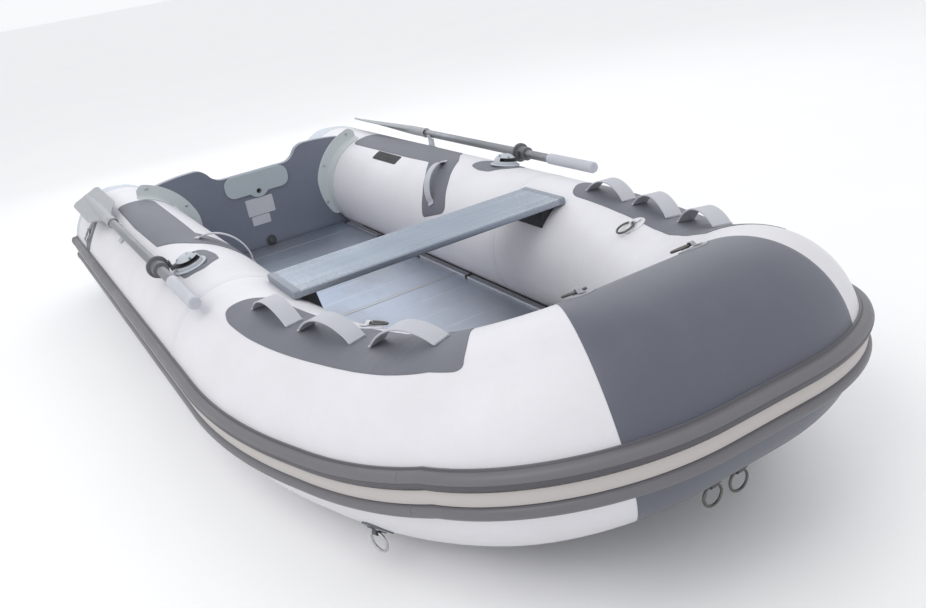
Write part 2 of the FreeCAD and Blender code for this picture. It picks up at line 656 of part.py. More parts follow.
def lock_frame(sign):
    """The oarlock's own frame: z along its pin, y outboard along the tube's surface."""
    turn = math.radians(size("lock_angle"))
    normal = vec(0, sign * math.cos(turn), math.sin(turn))
    across = vec(0, sign * math.sin(turn), -math.cos(turn))
    base = vec(along(size("lock_x")), sign * size("half_spacing"), tube_radius)
    rotation = FreeCAD.Rotation(vec(sign, 0, 0), across, normal, "ZYX")
    return FreeCAD.Placement(base + normal * tube_radius, rotation)


def oar_axis(sign):
    """Y and Z of the stowed oar's centreline."""
    spot = lock_frame(sign).multVec(vec(0, size("lock_arm"), size("lock_oar_high")))
    return spot.y, spot.z


def stroke_room(sign):
    """Room in the dome for the swivel's bar, which turns forward and inboard as the oar swings."""
    low, high = size("lock_slot_low"), size("lock_slot_high")
    turn = math.radians(size("lock_stroke"))
    bar = vec(sign * math.sin(turn), math.cos(turn), 0)
    edge = vec(sign * math.cos(turn), -math.sin(turn), 0) * 9.8
    corners = [vec(0, 0, 0), edge, edge + bar * 60, vec(sign * 60, 0, 0)]
    base = Part.Face(Part.makePolygon(corners + corners[:1]))
    return base.extrude(vec(0, 0, high - low)).translated(vec(0, 0, low))


def build_oarlocks():
    """Domed bases, swivels with their pins, and the collars that hold the oars."""
    domes = []
    radius, high = size("lock_radius"), size("lock_high")
    slot_low, slot_high = size("lock_slot_low"), size("lock_slot_high")
    pin, arm, oar_high = size("lock_pin"), size("lock_arm"), size("lock_oar_high")
    for name, sign in SIDES.items():
        frame = lock_frame(sign)
        edges = [Part.LineSegment(vec(0, 0, 2.8), vec(radius, 0, 2.8)).toShape(),
                 Part.LineSegment(vec(radius, 0, 2.8), vec(radius, 0, 10)).toShape(),
                 Part.Arc(vec(radius, 0, 10), vec(radius * 0.74, 0, high - 10),
                          vec(12, 0, high)).toShape(),
                 Part.LineSegment(vec(12, 0, high), vec(0, 0, high)).toShape(),
                 Part.LineSegment(vec(0, 0, high), vec(0, 0, 2.8)).toShape()]
        dome = Part.Face(Part.Wire(edges)).revolve(vec(0, 0, 0), UP, 360)
        slot = Part.makeBox(2 * radius + 4, 2 * radius + 4, slot_high - slot_low,
                            vec(-radius - 2, -8, slot_low))
        room = Part.makeCylinder(17, slot_high - slot_low, vec(0, 0, slot_low))
        bore = Part.makeCylinder(pin + 0.08, slot_high + 4 - 6, vec(0, 0, 6))
        dome = dome.cut(slot).cut(stroke_room(sign)).cut(room).cut(bore)
        hole = Part.makeCylinder(4.5, 16, vec(sign * 27, -6, high - 14),
                                 vec(sign * 0.6, 0, 0.8))
        dome = dome.cut(hole)
        dome.Placement = frame
        domes.append(dome)
        disc = Part.makeCylinder(15, slot_high - slot_low - 1, vec(0, 0, slot_low + 0.5))
        post = Part.makeCylinder(pin, slot_high - 2 - 7, vec(0, 0, 7))
        bar = Part.makeBox(18, 54, slot_high - slot_low - 1, vec(-9, 0, slot_low + 0.5))
        upright = Part.makeBox(18, 8, oar_high + 9 - slot_low, vec(-9, 46, slot_low + 0.5))
        axle = Part.makeCylinder(4, 10, vec(0, 54, oar_high), vec(0, 1, 0))
        swivel = disc.fuse([post, bar, upright, axle]).removeSplitter()
        swivel.Placement = frame
        feature(f"lock_swivel_{name}", swivel)
        half = size("collar_half")
        sleeve = Part.makeCylinder(size("collar_radius"), 2 * half, vec(-half, arm, oar_high),
                                   vec(1, 0, 0))
        flange_x = -half - 8 if sign == PORT else half
        flange = Part.makeCylinder(size("collar_flange"), 8, vec(flange_x, arm, oar_high),
                                   vec(1, 0, 0))
        through = Part.makeCylinder(size("oar_radius") + 0.08, 2 * half + 40,
                                    vec(-half - 20, arm, oar_high), vec(1, 0, 0))
        socket = Part.makeCylinder(4.08, 11, vec(0, 54, oar_high), vec(0, 1, 0))
        collar = sleeve.fuse(flange).cut(through).cut(socket).removeSplitter()
        collar.Placement = frame
        feature(f"oar_collar_{name}", collar)
    feature("oarlock_bases", Part.makeCompound(domes))


def build_oars():
    """Aluminium shafts, plastic grips and blades, and the hooks the shafts lie in."""
    radius, wall = size("oar_radius"), size("oar_wall")
    clips = []
    for name, sign in SIDES.items():
        y, z = oar_axis(sign)
        long = size("shaft_fore") - size("shaft_aft")
        start = vec(along(size("shaft_aft")), y, z)
        shaft = Part.makeCylinder(radius, long, start, vec(1, 0, 0))
        shaft = shaft.cut(Part.makeCylinder(radius - wall, long, start, vec(1, 0, 0)))
        feature(f"oar_shaft_{name}", shaft)
        long = size("grip_fore") - size("grip_aft")
        start = vec(along(size("grip_aft")), y, z)
        grip = Part.makeCylinder(size("grip_radius"), long, start, vec(1, 0, 0))
        inner = Part.makeCylinder(radius + 0.05, size("shaft_fore") - size("grip_aft") + 0.5,
                                  start, vec(1, 0, 0))
        feature(f"oar_grip_{name}", grip.cut(inner))
        aft, fore = size("blade_aft"), size("blade_fore")
        half, thick = size("blade_half"), size("blade_thick")
        neck = fore - 110
        steps = [((aft, -half + 14),), ((aft + 14, -half),), ((neck - 170, -half + 2),),
                 ((neck, -20),), ((neck, 20),), ((neck - 170, half - 2),), ((aft + 14, half),),
                 ((aft, half - 14),), ((aft, -half + 14),)]
        outline = Part.Wire([edge.toShape() for edge in flat_edges(steps)])
        plate = Part.Face(outline).extrude(vec(0, 0, thick))
        plate.translate(vec(0, 0, -thick / 2))
        rib = Part.makeCone(9, 18, neck - aft - 60, vec(aft + 60, 0, 0), vec(1, 0, 0))
        socket = Part.makeCylinder(18, fore - neck, vec(neck, 0, 0), vec(1, 0, 0))
        inner = Part.makeCylinder(radius + 0.05, fore - size("shaft_aft") + 0.5,
                                  vec(size("shaft_aft") - 0.5, 0, 0), vec(1, 0, 0))
        blade = plate.fuse([rib, socket]).cut(inner).removeSplitter()
        tilt = FreeCAD.Rotation(vec(1, 0, 0), -sign * size("blade_tilt"))
        blade.Placement = FreeCAD.Placement(vec(size("transom_x"), y, z), tilt)
        feature(f"oar_blade_{name}", blade)
        clips.append(build_clip(sign, y, z))
    feature("oar_hooks", Part.makeCompound(clips))


def build_clip(sign, y, z):
    """A hook under and inboard of the shaft: it lifts out upward or outboard."""
    wide, radius = 26, size("oar_radius")
    start = vec(along(size("clip_x") - wide / 2), y, z)
    ring = Part.makeCylinder(radius + 7, wide, start, vec(1, 0, 0))
    ring = ring.cut(Part.makeCylinder(radius + 3.2, wide, start, vec(1, 0, 0)))
    lower = Part.makeBox(wide, radius + 8, radius + 8,
                         vec(start.x, y - radius - 8 if sign == PORT else y, z - radius - 8))
    skew = 4.5
    lower.translate(vec(0, -sign * skew, 0))
    hook = ring.common(lower)
    offset = y - sign * 12 - sign * size("half_spacing")
    tube_z = tube_radius + math.sqrt(tube_radius ** 2 - offset ** 2)
    stem = Part.makeBox(wide, 14, z - radius - 2 - tube_z + 1,
                        vec(start.x, y - sign * 12 - 7, tube_z + 2))
    keep_out = Part.makeCylinder(radius + 3.2, wide, start, vec(1, 0, 0))
    hull = Part.makeCylinder(tube_radius + 2, wide + 2,
                             vec(start.x - 1, sign * size("half_spacing"), tube_radius),
                             vec(1, 0, 0))
    foot = Part.makeBox(44, 40, 16, vec(start.x - 9, y - sign * 12 - 20, tube_z - 8))
    thin = Part.makeCylinder(tube_radius + 5, 60,
                             vec(start.x - 17, sign * size("half_spacing"), tube_radius),
                             vec(1, 0, 0))
    long_hull = Part.makeCylinder(tube_radius + 2, 60,
                                  vec(start.x - 17, sign * size("half_spacing"), tube_radius),
                                  vec(1, 0, 0))
    foot = foot.common(thin).cut(long_hull)
    body = hook.fuse([stem.cut(keep_out).cut(hull), foot]).removeSplitter()
    return body


# --- rings, valves ---------------------------------------------------------------------

RINGS = {
    # place: (distance forward of the transom, angle round the tube)
    "stern": (-30, 36), "inner": (2076, 112), "bow": (2756, 116), "side": (2235, -42),
    "tow": (0, -62),
}
TOW_SPREAD = 36


def ring_frame(travel, angle):
    """Frame on the tube for a ring: x along the tube, y down the tube's surface."""
    frame = local_placement(travel, angle, size("skin_gap") + 1.5)
    if frame.Rotation.multVec(vec(0, 1, 0)).z > 0:
        frame = frame.multiply(FreeCAD.Placement(vec(0, 0, 0), FreeCAD.Rotation(UP, 180)))
    return frame


def ring_pad(frame):
    """A round glued pad with the keeper that the ring's wire runs through."""
    disc = Part.makeCylinder(size("pad_disc"), 1.5)
    high = size("keeper_high")
    keeper = Part.makeBox(13, 13, high + 1, vec(-6.5, -6.5, 1.4))
    bore = Part.makeCylinder(size("ring_minor") + 1.4, 40, vec(-20, 0, 1.5 + high / 2),
                             vec(1, 0, 0))
    pad = disc.fuse(keeper).cut(bore)
    pad.Placement = frame
    return pad


def ring_at(frame, swing=0.0):
    """A wire ring whose edge lies in the keeper; swing turns it away from the pad."""
    middle = vec(0, 0, 1.5 + size("keeper_high") / 2)
    torus = Part.makeTorus(size("ring_major"), size("ring_minor"))
    torus.translate(vec(0, size("ring_major"), 0))
    torus.rotate(vec(0, 0, 0), vec(1, 0, 0), swing)
    torus.translate(middle)
    torus.Placement = frame.multiply(torus.Placement)
    return torus


def hang_angle(frame):
    """How far a ring turns away from its pad to hang straight down."""
    down = frame.Rotation.multVec(vec(0, 1, 0))
    away = frame.Rotation.multVec(vec(0, 0, 1))
    return math.degrees(math.atan2(-away.z, -down.z))


def ring_spots():
    """Every ring's name, frame and turn at rest: flat on the tube, or hanging free below it."""
    spots = []
    for place, (where, angle) in RINGS.items():
        for name, sign in SIDES.items():
            travel = line.length / 2 + sign * TOW_SPREAD if place == "tow" else travel_at(where, sign)
            frame = ring_frame(travel, angle)
            turn = hang_angle(frame) if angle < 0 else 0.0
            spots.append((f"ring_{place}_{name}", frame, turn))
    return spots


def build_rings():
    """Lifting, inner, bow, side and tow rings with their pads."""
    pads = []
    for name, frame, turn in ring_spots():
        pads.append(ring_pad(frame))
        feature(name, ring_at(frame, turn))
    feature("ring_pads", Part.makeCompound(pads))


def build_valves():
    """Inflation valves on the tubes' inner sides, each with a turning cap."""
    bodies = []
    for name, sign in SIDES.items():
        frame = local_placement(travel_at(size("valve_x"), sign), 180, size("skin_gap"))
        body = Part.makeCylinder(size("valve_radius"), 4)
        neck = Part.makeCylinder(size("valve_cap_radius") - 5, 5, vec(0, 0, 3.9))
        body = body.fuse(neck).removeSplitter()
        body.Placement = frame
        bodies.append(body)
        cap = Part.makeCylinder(size("valve_cap_radius"), 9, vec(0, 0, 4.3))
        room = Part.makeCylinder(size("valve_cap_radius") - 4.7, 4.9, vec(0, 0, 4.3))
        tab = Part.makeBox(5, 2 * size("valve_cap_radius") - 6, 5,
                           vec(-2.5, 3 - size("valve_cap_radius"), 13.2))
        cap = cap.cut(room).fuse(tab).removeSplitter()
        cap.Placement = frame
        feature(f"valve_cap_{name}", cap)
    feature("valve_bodies", Part.makeCompound(bodies))


def write_parts():
    """Checks every object and shape, then writes one STEP file for each sub-part."""
    doc.recompute()
    for obj in doc.Objects:
        if "Invalid" in obj.State or "Error" in obj.State:
            raise RuntimeError(f"{obj.Label} failed: {obj.State}")
    for obj in sub_parts:
        if obj.Shape.isNull() or not obj.Shape.isValid() or obj.Shape.Volume <= 0:
            raise RuntimeError(f"{obj.Label} has no valid shape")
    os.makedirs("parts", exist_ok=True)
    for obj in sub_parts:
        obj.Shape.exportStep(f"parts/{obj.Label}.step")
    whole = Part.makeCompound([obj.Shape for obj in sub_parts]).BoundBox
    print(len(sub_parts), "sub-parts, box", whole)


build_tubes()
build_strakes()
build_bottom()
build_transom()
build_floor()
build_bench()
build_patches_and_handles()
build_oarlocks()
build_oars()
build_rings()
build_valves()
write_parts()
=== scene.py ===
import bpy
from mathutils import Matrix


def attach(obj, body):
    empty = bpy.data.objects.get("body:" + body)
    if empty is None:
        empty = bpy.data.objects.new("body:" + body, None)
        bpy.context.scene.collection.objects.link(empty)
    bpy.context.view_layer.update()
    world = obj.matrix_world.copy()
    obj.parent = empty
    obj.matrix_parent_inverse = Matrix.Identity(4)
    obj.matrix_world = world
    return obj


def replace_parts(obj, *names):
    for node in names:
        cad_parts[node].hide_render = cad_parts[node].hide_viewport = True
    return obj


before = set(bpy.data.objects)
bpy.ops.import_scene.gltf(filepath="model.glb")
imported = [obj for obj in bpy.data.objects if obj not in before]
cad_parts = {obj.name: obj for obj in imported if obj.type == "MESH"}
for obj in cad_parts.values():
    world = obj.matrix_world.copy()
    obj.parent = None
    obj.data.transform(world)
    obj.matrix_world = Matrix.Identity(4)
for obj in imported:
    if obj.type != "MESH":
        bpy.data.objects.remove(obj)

"""Looks for the inflatable dinghy: coated-fabric tubes with lapped patches, rubber strakes,
a lacquered transom, an aluminium deck and bench, strap handles, oarlocks, oars and rings.

Everything is in metres, with +X to the bow, +Y to port and +Z up.  Places on the hull are
given by a distance along the tube from the transom and by an angle round the tube, which is
0 degrees straight outboard, 90 at the crown and 180 straight inboard.
"""
import logging
import math
from dataclasses import dataclass, field
from enum import Enum
from typing import Callable, Iterable, Sequence

import bmesh
import bpy
from mathutils import Matrix, Vector

LOG = logging.getLogger("dinghy")
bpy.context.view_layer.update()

Flat = tuple[float, float]
Colour = tuple[float, float, float]
Socket = bpy.types.NodeSocket


# --- the hull line ---------------------------------------------------------------------

class Side(Enum):
    """The boat's two sides, with the sign of their Y."""

    STARBOARD = -1
    PORT = 1

    @property
    def label(self) -> str:
        """The side's name in lower case."""
        return self.name.lower()


@dataclass
class HullLine:
    """The tube's centreline: straight runs joined by arcs, from stern to stern round the bow."""

    transom: float = -1.1675
    radius: float = 0.215
    overhang: float = 0.330
    half_spacing: float = 0.538
    bends: tuple[tuple[float, float, float], ...] = (
        (1.846, 0.538, 0.215), (2.293, 0.409, 0.242), (2.616, 0.279, 0.358))
    share: float = 0.48
    bow_half_girth: float = 0.205
    pieces: list[tuple] = field(default_factory=list)

    def __post_init__(self) -> None:
        """Works out the runs and arcs once."""
        start = (-self.overhang, self.half_spacing, self.radius)
        half = [Vector((self.transom + x, y, z)) for x, y, z in (start,) + self.bends]
        corners = [Vector((p.x, -p.y, p.z)) for p in half] + half[::-1]
        here = corners[0]
        for before, corner, after in zip(corners, corners[1:], corners[2:]):
            into, out = (corner - before).normalized(), (after - corner).normalized()
            reach = self.share * min((corner - before).length, (after - corner).length)
            turn = into.angle(out)
            radius = reach / math.tan(turn / 2)
            first, last = corner - into * reach, corner + out * reach
            centre = corner + (out - into).normalized() * (radius / math.cos(turn / 2))
            self.pieces.append((here, first, (first - here).length, None, into))
            self.pieces.append((first, last, radius * turn, centre, into))
            here = last
        final = corners[-1]
        self.pieces.append((here, final, (final - here).length, None, (final - here).normalized()))

    @property
    def length(self) -> float:
        """Length of the whole line."""
        return sum(piece[2] for piece in self.pieces)

    def locate(self, travel: float) -> tuple[Vector, Vector, Vector | None]:
        """Finds a place on the line.

        Args:
            travel: Distance along the whole line from the starboard stern.

        Returns:
            The point, the direction there, and the centre of the arc it is on, if any.
        """
        for piece in self.pieces:
            if travel <= piece[2] or piece is self.pieces[-1]:
                break
            travel -= piece[2]
        first, _, _, centre, into = piece
        if centre is None:
            return first + into * travel, into, None
        arm = first - centre
        angle = travel / arm.length
        spot = centre + arm * math.cos(angle) + into * (arm.length * math.sin(angle))
        direction = into * math.cos(angle) - arm.normalized() * math.sin(angle)
        return spot, direction.normalized(), centre

    def axes(self, travel: float) -> tuple[Vector, Vector, Vector, Vector]:
        """Returns the centre, direction, outboard and upward vectors at a distance."""
        spot, direction, _ = self.locate(travel)
        outboard = direction.cross(Vector((0, 0, 1))).normalized()
        return spot, direction, outboard, outboard.cross(direction).normalized()

    def point(self, travel: float, angle: float, high: float = 0.0) -> Vector:
        """Returns a point at an angle round the tube and a height above its skin."""
        spot, _, outboard, upward = self.axes(travel)
        turn = math.radians(angle)
        reach = self.radius + high
        return spot + outboard * (reach * math.cos(turn)) + upward * (reach * math.sin(turn))

    def place(self, travel: float, angle: float, high: float = 0.0) -> Matrix:
        """Returns a frame on the skin: x along the tube, z away from it."""
        _, direction, outboard, upward = self.axes(travel)
        turn = math.radians(angle)
        normal = outboard * math.cos(turn) + upward * math.sin(turn)
        frame_axes = Matrix((direction, normal.cross(direction), normal)).transposed().to_4x4()
        return Matrix.Translation(self.point(travel, angle, high)) @ frame_axes

    def travel_at(self, distance: float, side: Side) -> float:
        """Returns the whole-line distance of a place forward of the transom on one side."""
        start = self.overhang + distance
        return start if side is Side.STARBOARD else self.length - start

    def span(self, side: Side, aft: float, fore: float) -> tuple[float, float]:
        """Returns the start and end of a stretch of one side, in order along the line."""
        ends = sorted((self.travel_at(aft, side), self.travel_at(fore, side)))
        return ends[0], ends[1]

    def stations(self, start: float, end: float, straight: float = 0.03,
                 bent: float = 0.009) -> list[float]:
        """Spaces places along a stretch, closer together in the bends.

        Args:
            start: Distance at which the stretch starts.
            end: Distance at which it ends.
            straight: Spacing on straight runs.
            bent: Spacing on arcs.

        Returns:
            The distances, with both ends.
        """
        marks, passed = [start, end], 0.0
        for piece in self.pieces:
            step = straight if piece[3] is None else bent
            count = max(1, math.ceil(piece[2] / step))
            marks += [passed + piece[2] * i / count for i in range(count + 1)]
            passed += piece[2]
        kept = sorted(mark for mark in marks if start <= mark <= end)
        return [a for a, b in zip(kept, kept[1:]) if b - a > 1e-5] + [kept[-1]]

    def pucker(self, travel: float, angle: float) -> float:
        """Returns how far the skin stands in or out where a bend gathers its fabric."""
        passed = 0.0
        for first, _, length, centre, _ in self.pieces:
            if travel <= passed + length:
                break
            passed += length
        if centre is None:
            return 0.0
        spot = self.locate(travel)[0]
        towards = (centre - spot).normalized()
        normal = (self.point(travel, angle) - spot).normalized()
        inside = max(0.0, normal.dot(towards)) ** 2
        share = (travel - passed) / length
        window = math.sin(math.pi * share) ** 0.7
        tightness = min(1.0, 0.5 / (first - centre).length)
        broad = math.sin(travel * 2 * math.pi / 0.118 + 0.9 * math.sin(math.radians(angle) * 2))
        fine = math.sin(travel * 2 * math.pi / 0.039 + 1.6 * math.sin(math.radians(angle) * 3))
        return inside * window * tightness * (0.0021 * broad + 0.0007 * fine - 0.0012)


HULL = HullLine()


# --- meshes ----------------------------------------------------------------------------

@dataclass
class Skin:
    """Points and faces of one piece, with every face's flat lengths for its weave."""

    points: list[Vector] = field(default_factory=list)
    faces: list[tuple[int, ...]] = field(default_factory=list)
    flats: list[tuple[Flat, ...]] = field(default_factory=list)
    shades: list[int] = field(default_factory=list)

    def face(self, corners: Sequence[int], flat: Sequence[Flat], shade: int = 0) -> None:
        """Adds one face by its points' numbers and their flat places."""
        self.faces.append(tuple(corners))
        self.flats.append(tuple(flat))
        self.shades.append(shade)

    def net(self, rows: Sequence[Sequence[Vector]], around: bool = False, ends: bool = False,
            shade: int = 0) -> None:
        """Adds a net of four-sided faces.

        Args:
            rows: Equally long rows of points.
            around: Whether each row closes on itself.
            ends: Whether the first and last rows are closed with a face.
            shade: Which of the piece's finishes it takes.
        """
        start, wide = len(self.points), len(rows[0])
        for row in rows:
            self.points.extend(row)
        columns = wide if around else wide - 1
        middle = rows[len(rows) // 2]
        across, down = [0.0], [0.0]
        for column in range(columns):
            step = middle[(column + 1) % wide] - middle[column]
            across.append(across[-1] + step.length)
        for upper, lower in zip(rows, rows[1:]):
            down.append(down[-1] + (lower[0] - upper[0]).length)
        for r in range(len(rows) - 1):
            for c in range(columns):
                d = (c + 1) % wide
                low, high = start + r * wide, start + (r + 1) * wide
                self.face((low + c, low + d, high + d, high + c),
                          ((across[c], down[r]), (across[c + 1], down[r]),
                           (across[c + 1], down[r + 1]), (across[c], down[r + 1])), shade)
        if ends:
            for base in (start, start + (len(rows) - 1) * wide):
                ring = list(range(base, base + wide))
                centre = self.points[base]
                flat = [((self.points[i] - centre).y, (self.points[i] - centre).z) for i in ring]
                self.face(ring, flat, shade)

    def lathe(self, place: Matrix, profile: Sequence[Flat], parts: int = 48,
              shade: int = 0) -> None:
        """Adds a turned shape about a frame's z axis.

        Args:
            place: Frame of the shape.
            profile: (radius, height) pairs; a radius of 0 closes the shape to a point.
            parts: Number of faces round it.
            shade: Which of the piece's finishes it takes.
        """
        rings: list[list[int]] = []
        for radius, high in profile:
            start = len(self.points)
            if radius < 1e-6:
                self.points.append(place @ Vector((0, 0, high)))
                rings.append([start])
                continue
            self.points += [place @ Vector((x, y, high)) for x, y in circle(radius, parts)]
            rings.append(list(range(start, start + parts)))
        passed = 0.0
        for index, (low, high) in enumerate(zip(rings, rings[1:])):
            (r0, h0), (r1, h1) = profile[index], profile[index + 1]
            step = math.hypot(r1 - r0, h1 - h0)
            wide = 2 * math.pi * max(r0, r1) / parts
            for part in range(parts):
                after = (part + 1) % parts
                corners = [low[part % len(low)], low[after % len(low)],
                           high[after % len(high)], high[part % len(high)]]
                flat = [(part * wide, passed), ((part + 1) * wide, passed),
                        ((part + 1) * wide, passed + step), (part * wide, passed + step)]
                kept = [i for i, corner in enumerate(corners) if corner not in corners[:i]]
                self.face([corners[i] for i in kept], [flat[i] for i in kept], shade)
            passed += step

    def prism(self, place: Matrix, outline: Sequence[Flat], low: float, high: float,
              shade: int = 0) -> None:
        """Adds a plate: an outline in a frame's xy plane, from one height to another."""
        rows = [[place @ Vector((x, y, z)) for x, y in outline] for z in (low, high)]
        start = len(self.points)
        self.net(rows, around=True, shade=shade)
        count = len(outline)
        for base in (start, start + count):
            self.face(range(base, base + count), list(outline), shade)

    def solid(self, rows: Sequence[Sequence[Vector]]) -> None:
        """Adds a body from closed rows, capped at both ends."""
        self.net(rows, around=True, ends=True)

    def sweep(self, places: Sequence[Matrix], section: Sequence[Flat], ends: bool = True) -> None:
        """Adds a closed section, in each frame's yz plane, carried along the frames."""
        rows = [[place @ Vector((0, y, z)) for y, z in section] for place in places]
        self.net(rows, around=True, ends=ends)

    def piece(self, name: str, body: str, *finishes: "Finish", sharp: float = 35.0,
              bevel: float = 0.0) -> bpy.types.Object:
        """Makes the object, dresses it and lets it ride on a body.

        Args:
            name: The piece's name.
            body: The body it moves with.
            finishes: Its finishes, in the order of the faces' shades.
            sharp: Angle in degrees over which an edge stays crisp.
            bevel: Width of the rounding on its crisp edges.

        Returns:
            The new object.
        """
        mesh = bpy.data.meshes.new(name)
        mesh.from_pydata([tuple(point) for point in self.points], [], self.faces)
        layer = mesh.uv_layers.new(name="flat")
        places = [place for flat in self.flats for place in flat]
        for loop, place in zip(layer.data, places):
            loop.uv = place
        for finish in finishes:
            mesh.materials.append(finish.material())
        for polygon, shade in zip(mesh.polygons, self.shades):
            polygon.material_index = shade
            polygon.use_smooth = True
        work = bmesh.new()
        work.from_mesh(mesh)
        bmesh.ops.recalc_face_normals(work, faces=work.faces)
        work.to_mesh(mesh)
        work.free()
        mesh.set_sharp_from_angle(angle=math.radians(sharp))
        obj = bpy.data.objects.new(name, mesh)
        bpy.context.scene.collection.objects.link(obj)
        if bevel:
            rounding = obj.modifiers.new("rounding", "BEVEL")
            rounding.width = bevel
            rounding.segments = 3
            rounding.limit_method = "ANGLE"
            rounding.angle_limit = math.radians(sharp)
            rounding.harden_normals = True
        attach(obj, body)
        LOG.info("%s: %d faces on %s", name, len(self.faces), body)
        return obj


def turns(parts: int) -> list[float]:
    """Evenly spaced angles round a full turn, in radians."""
    return [2 * math.pi * part / parts for part in range(parts)]


def rounded(corners: Sequence[tuple[float, float, float]], parts: int) -> list[Flat]:
    """Rounds the corners of a closed outline.

    Args:
        corners: (x, y, radius) of each corner, in order.
        parts: Number of steps round each corner.

    Returns:
        The outline's points.
    """
    outline: list[Flat] = []
    count = len(corners)
    for index, (x, y, radius) in enumerate(corners):
        here = Vector((x, y))
        before = Vector(corners[index - 1][:2]) - here
        after = Vector(corners[(index + 1) % count][:2]) - here
        turn = before.angle(after)
        if radius <= 0 or turn > math.pi - 0.01:
            outline.append((x, y))
            continue
        reach = min(radius / math.tan(turn / 2), 0.49 * before.length, 0.49 * after.length)
        first, last = here + before.normalized() * reach, here + after.normalized() * reach
        for part in range(parts + 1):
            t = part / parts
            spot = first * (1 - t) ** 2 + here * (2 * t * (1 - t)) + last * t ** 2
            outline.append((spot.x, spot.y))
    return outline


def ring_frames(place: Matrix, radius: float, parts: int) -> list[Matrix]:
    """Frames once round a circle in a frame's xy plane, x along the circle."""
    edge = Matrix.Translation((0, -radius, 0))
    return [place @ Matrix.Rotation(turn, 4, "Z") @ edge for turn in turns(parts) + [0.0]]


def circle(radius: float, parts: int) -> list[Flat]:
    """A round section."""
    return [(radius * math.cos(turn), radius * math.sin(turn)) for turn in turns(parts)]


def strap_section(wide: float, thick: float) -> list[Flat]:
    """A strap's section, with slightly thicker rolled edges."""
    half, edge = wide / 2, thick * 0.62
    right = [(half - 0.0035, -thick / 2), (half - 0.0012, -edge), (half, 0.0),
             (half - 0.0012, edge), (half - 0.0035, thick / 2)]
    top = [(half * share, thick / 2) for share in (0.6, 0.3, 0.0, -0.3, -0.6)]
    left = [(-y, -z) for y, z in right]
    low = [(-y, -z) for y, z in top]
    return right + top + left + low


def rounded_box(middle: Flat, size: Flat, radius: float, parts: int) -> list[Flat]:
    """A rectangle's outline with rounded corners."""
    (x, y), (wide, tall) = middle, (size[0] / 2, size[1] / 2)
    return rounded([(x - wide, y - tall, radius), (x + wide, y - tall, radius),
                    (x + wide, y + tall, radius), (x - wide, y + tall, radius)], parts)


def path_frames(points: Sequence[Vector], normals: Sequence[Vector]) -> list[Matrix]:
    """Frames along a path of points: x along it, z near each point's normal."""
    frames = []
    for index, (point, normal) in enumerate(zip(points, normals)):
        before, after = points[max(0, index - 1)], points[min(len(points) - 1, index + 1)]
        along = (after - before).normalized()
        across = normal.cross(along).normalized()
        turn = Matrix((along, across, along.cross(across))).transposed().to_4x4()
        frames.append(Matrix.Translation(point) @ turn)
    return frames


def facing(spot: Vector | tuple[float, float, float], axis: Vector) -> Matrix:
    """A frame at a spot whose z looks along an axis."""
    z_axis = axis.normalized()
    guide = Vector((0, 0, 1)) if abs(z_axis.z) < 0.9 else Vector((1, 0, 0))
    x_axis = guide.cross(z_axis).normalized()
    turn = Matrix((x_axis, z_axis.cross(x_axis), z_axis)).transposed().to_4x4()
    return Matrix.Translation(Vector(spot)) @ turn


# --- finishes --------------------------------------------------------------------------

@dataclass
class Nodes:
    """Writes shader nodes into one tree."""

    tree: bpy.types.NodeTree

    def add(self, kind: str, inputs: dict | None = None, **settings: object) -> bpy.types.Node:
        """Adds a node.

        Args:
            kind: The node's type, without its ShaderNode prefix.
            inputs: Values or sockets for its inputs, by name or number.
            settings: Its own settings.

        Returns:
            The new node.
        """
        node = self.tree.nodes.new(f"ShaderNode{kind}")
        for name, value in settings.items():
            setattr(node, name, value)
        for key, value in (inputs or {}).items():
            self.feed(node.inputs[key], value)
        return node

    def feed(self, socket: Socket, value: object) -> None:
        """Gives a socket a value, or links another socket to it."""
        if isinstance(value, bpy.types.NodeSocket):
            self.tree.links.new(value, socket)
        elif isinstance(value, tuple) and len(value) == 3 and socket.type == "RGBA":
            socket.default_value = (*value, 1.0)
        else:
            socket.default_value = value

    def math(self, operation: str, first: object, second: object = 0.0) -> Socket:
        """Returns the result of a sum on values or sockets."""
        return self.add("Math", {0: first, 1: second}, operation=operation).outputs[0]

    def spread(self, value: Socket, low: float, high: float, start: float, end: float) -> Socket:
        """Returns a value carried from one range to another, held at its ends."""
        node = self.add("MapRange", {"Value": value, "From Min": low, "From Max": high,
                                     "To Min": start, "To Max": end})
        return node.outputs["Result"]

    def mix(self, share: object, first: object, second: object) -> Socket:
        """Returns two colours mixed by a share."""
        node = self.add("Mix", {0: share, 6: first, 7: second}, data_type="RGBA")
        return node.outputs[2]

    def noise(self, place: Socket, scale: float, detail: float = 3.0,
              rough: float = 0.55) -> Socket:
        """Returns a noise value over a place."""
        node = self.add("TexNoise", {"Vector": place, "Scale": scale, "Detail": detail,
                                     "Roughness": rough})
        return node.outputs["Fac"]

    def stretched(self, scale: tuple[float, float, float]) -> Socket:
        """Returns the object's own coordinates, scaled along each axis."""
        place = self.add("TexCoord").outputs["Object"]
        return self.add("Mapping", {"Vector": place, "Scale": scale}).outputs[0]

    def flat(self, scale: tuple[float, float, float] = (1.0, 1.0, 1.0)) -> Socket:
        """Returns the piece's flat lengths in metres, scaled."""
        place = self.add("UVMap", uv_map="flat").outputs[0]
        return self.add("Mapping", {"Vector": place, "Scale": scale}).outputs[0]

    def shared(self, effect: "Effect", **inputs: object) -> bpy.types.Node:
        """Places a shared effect with this material's own values."""
        node = self.add("Group")
        node.node_tree = EFFECTS.tree(effect)
        for name, value in inputs.items():
            self.feed(node.inputs[name.replace("_", " ")], value)
        return node


class Effect(Enum):
    """The shader effects that several finishes share."""

    WEAVE = "weave under the coating"
    MOTTLE = "uneven colour"
    WEAR = "edge wear"
    DUST = "settled dust"
    GRAIN = "moulded grain"
    BRUSHING = "brushed lines"


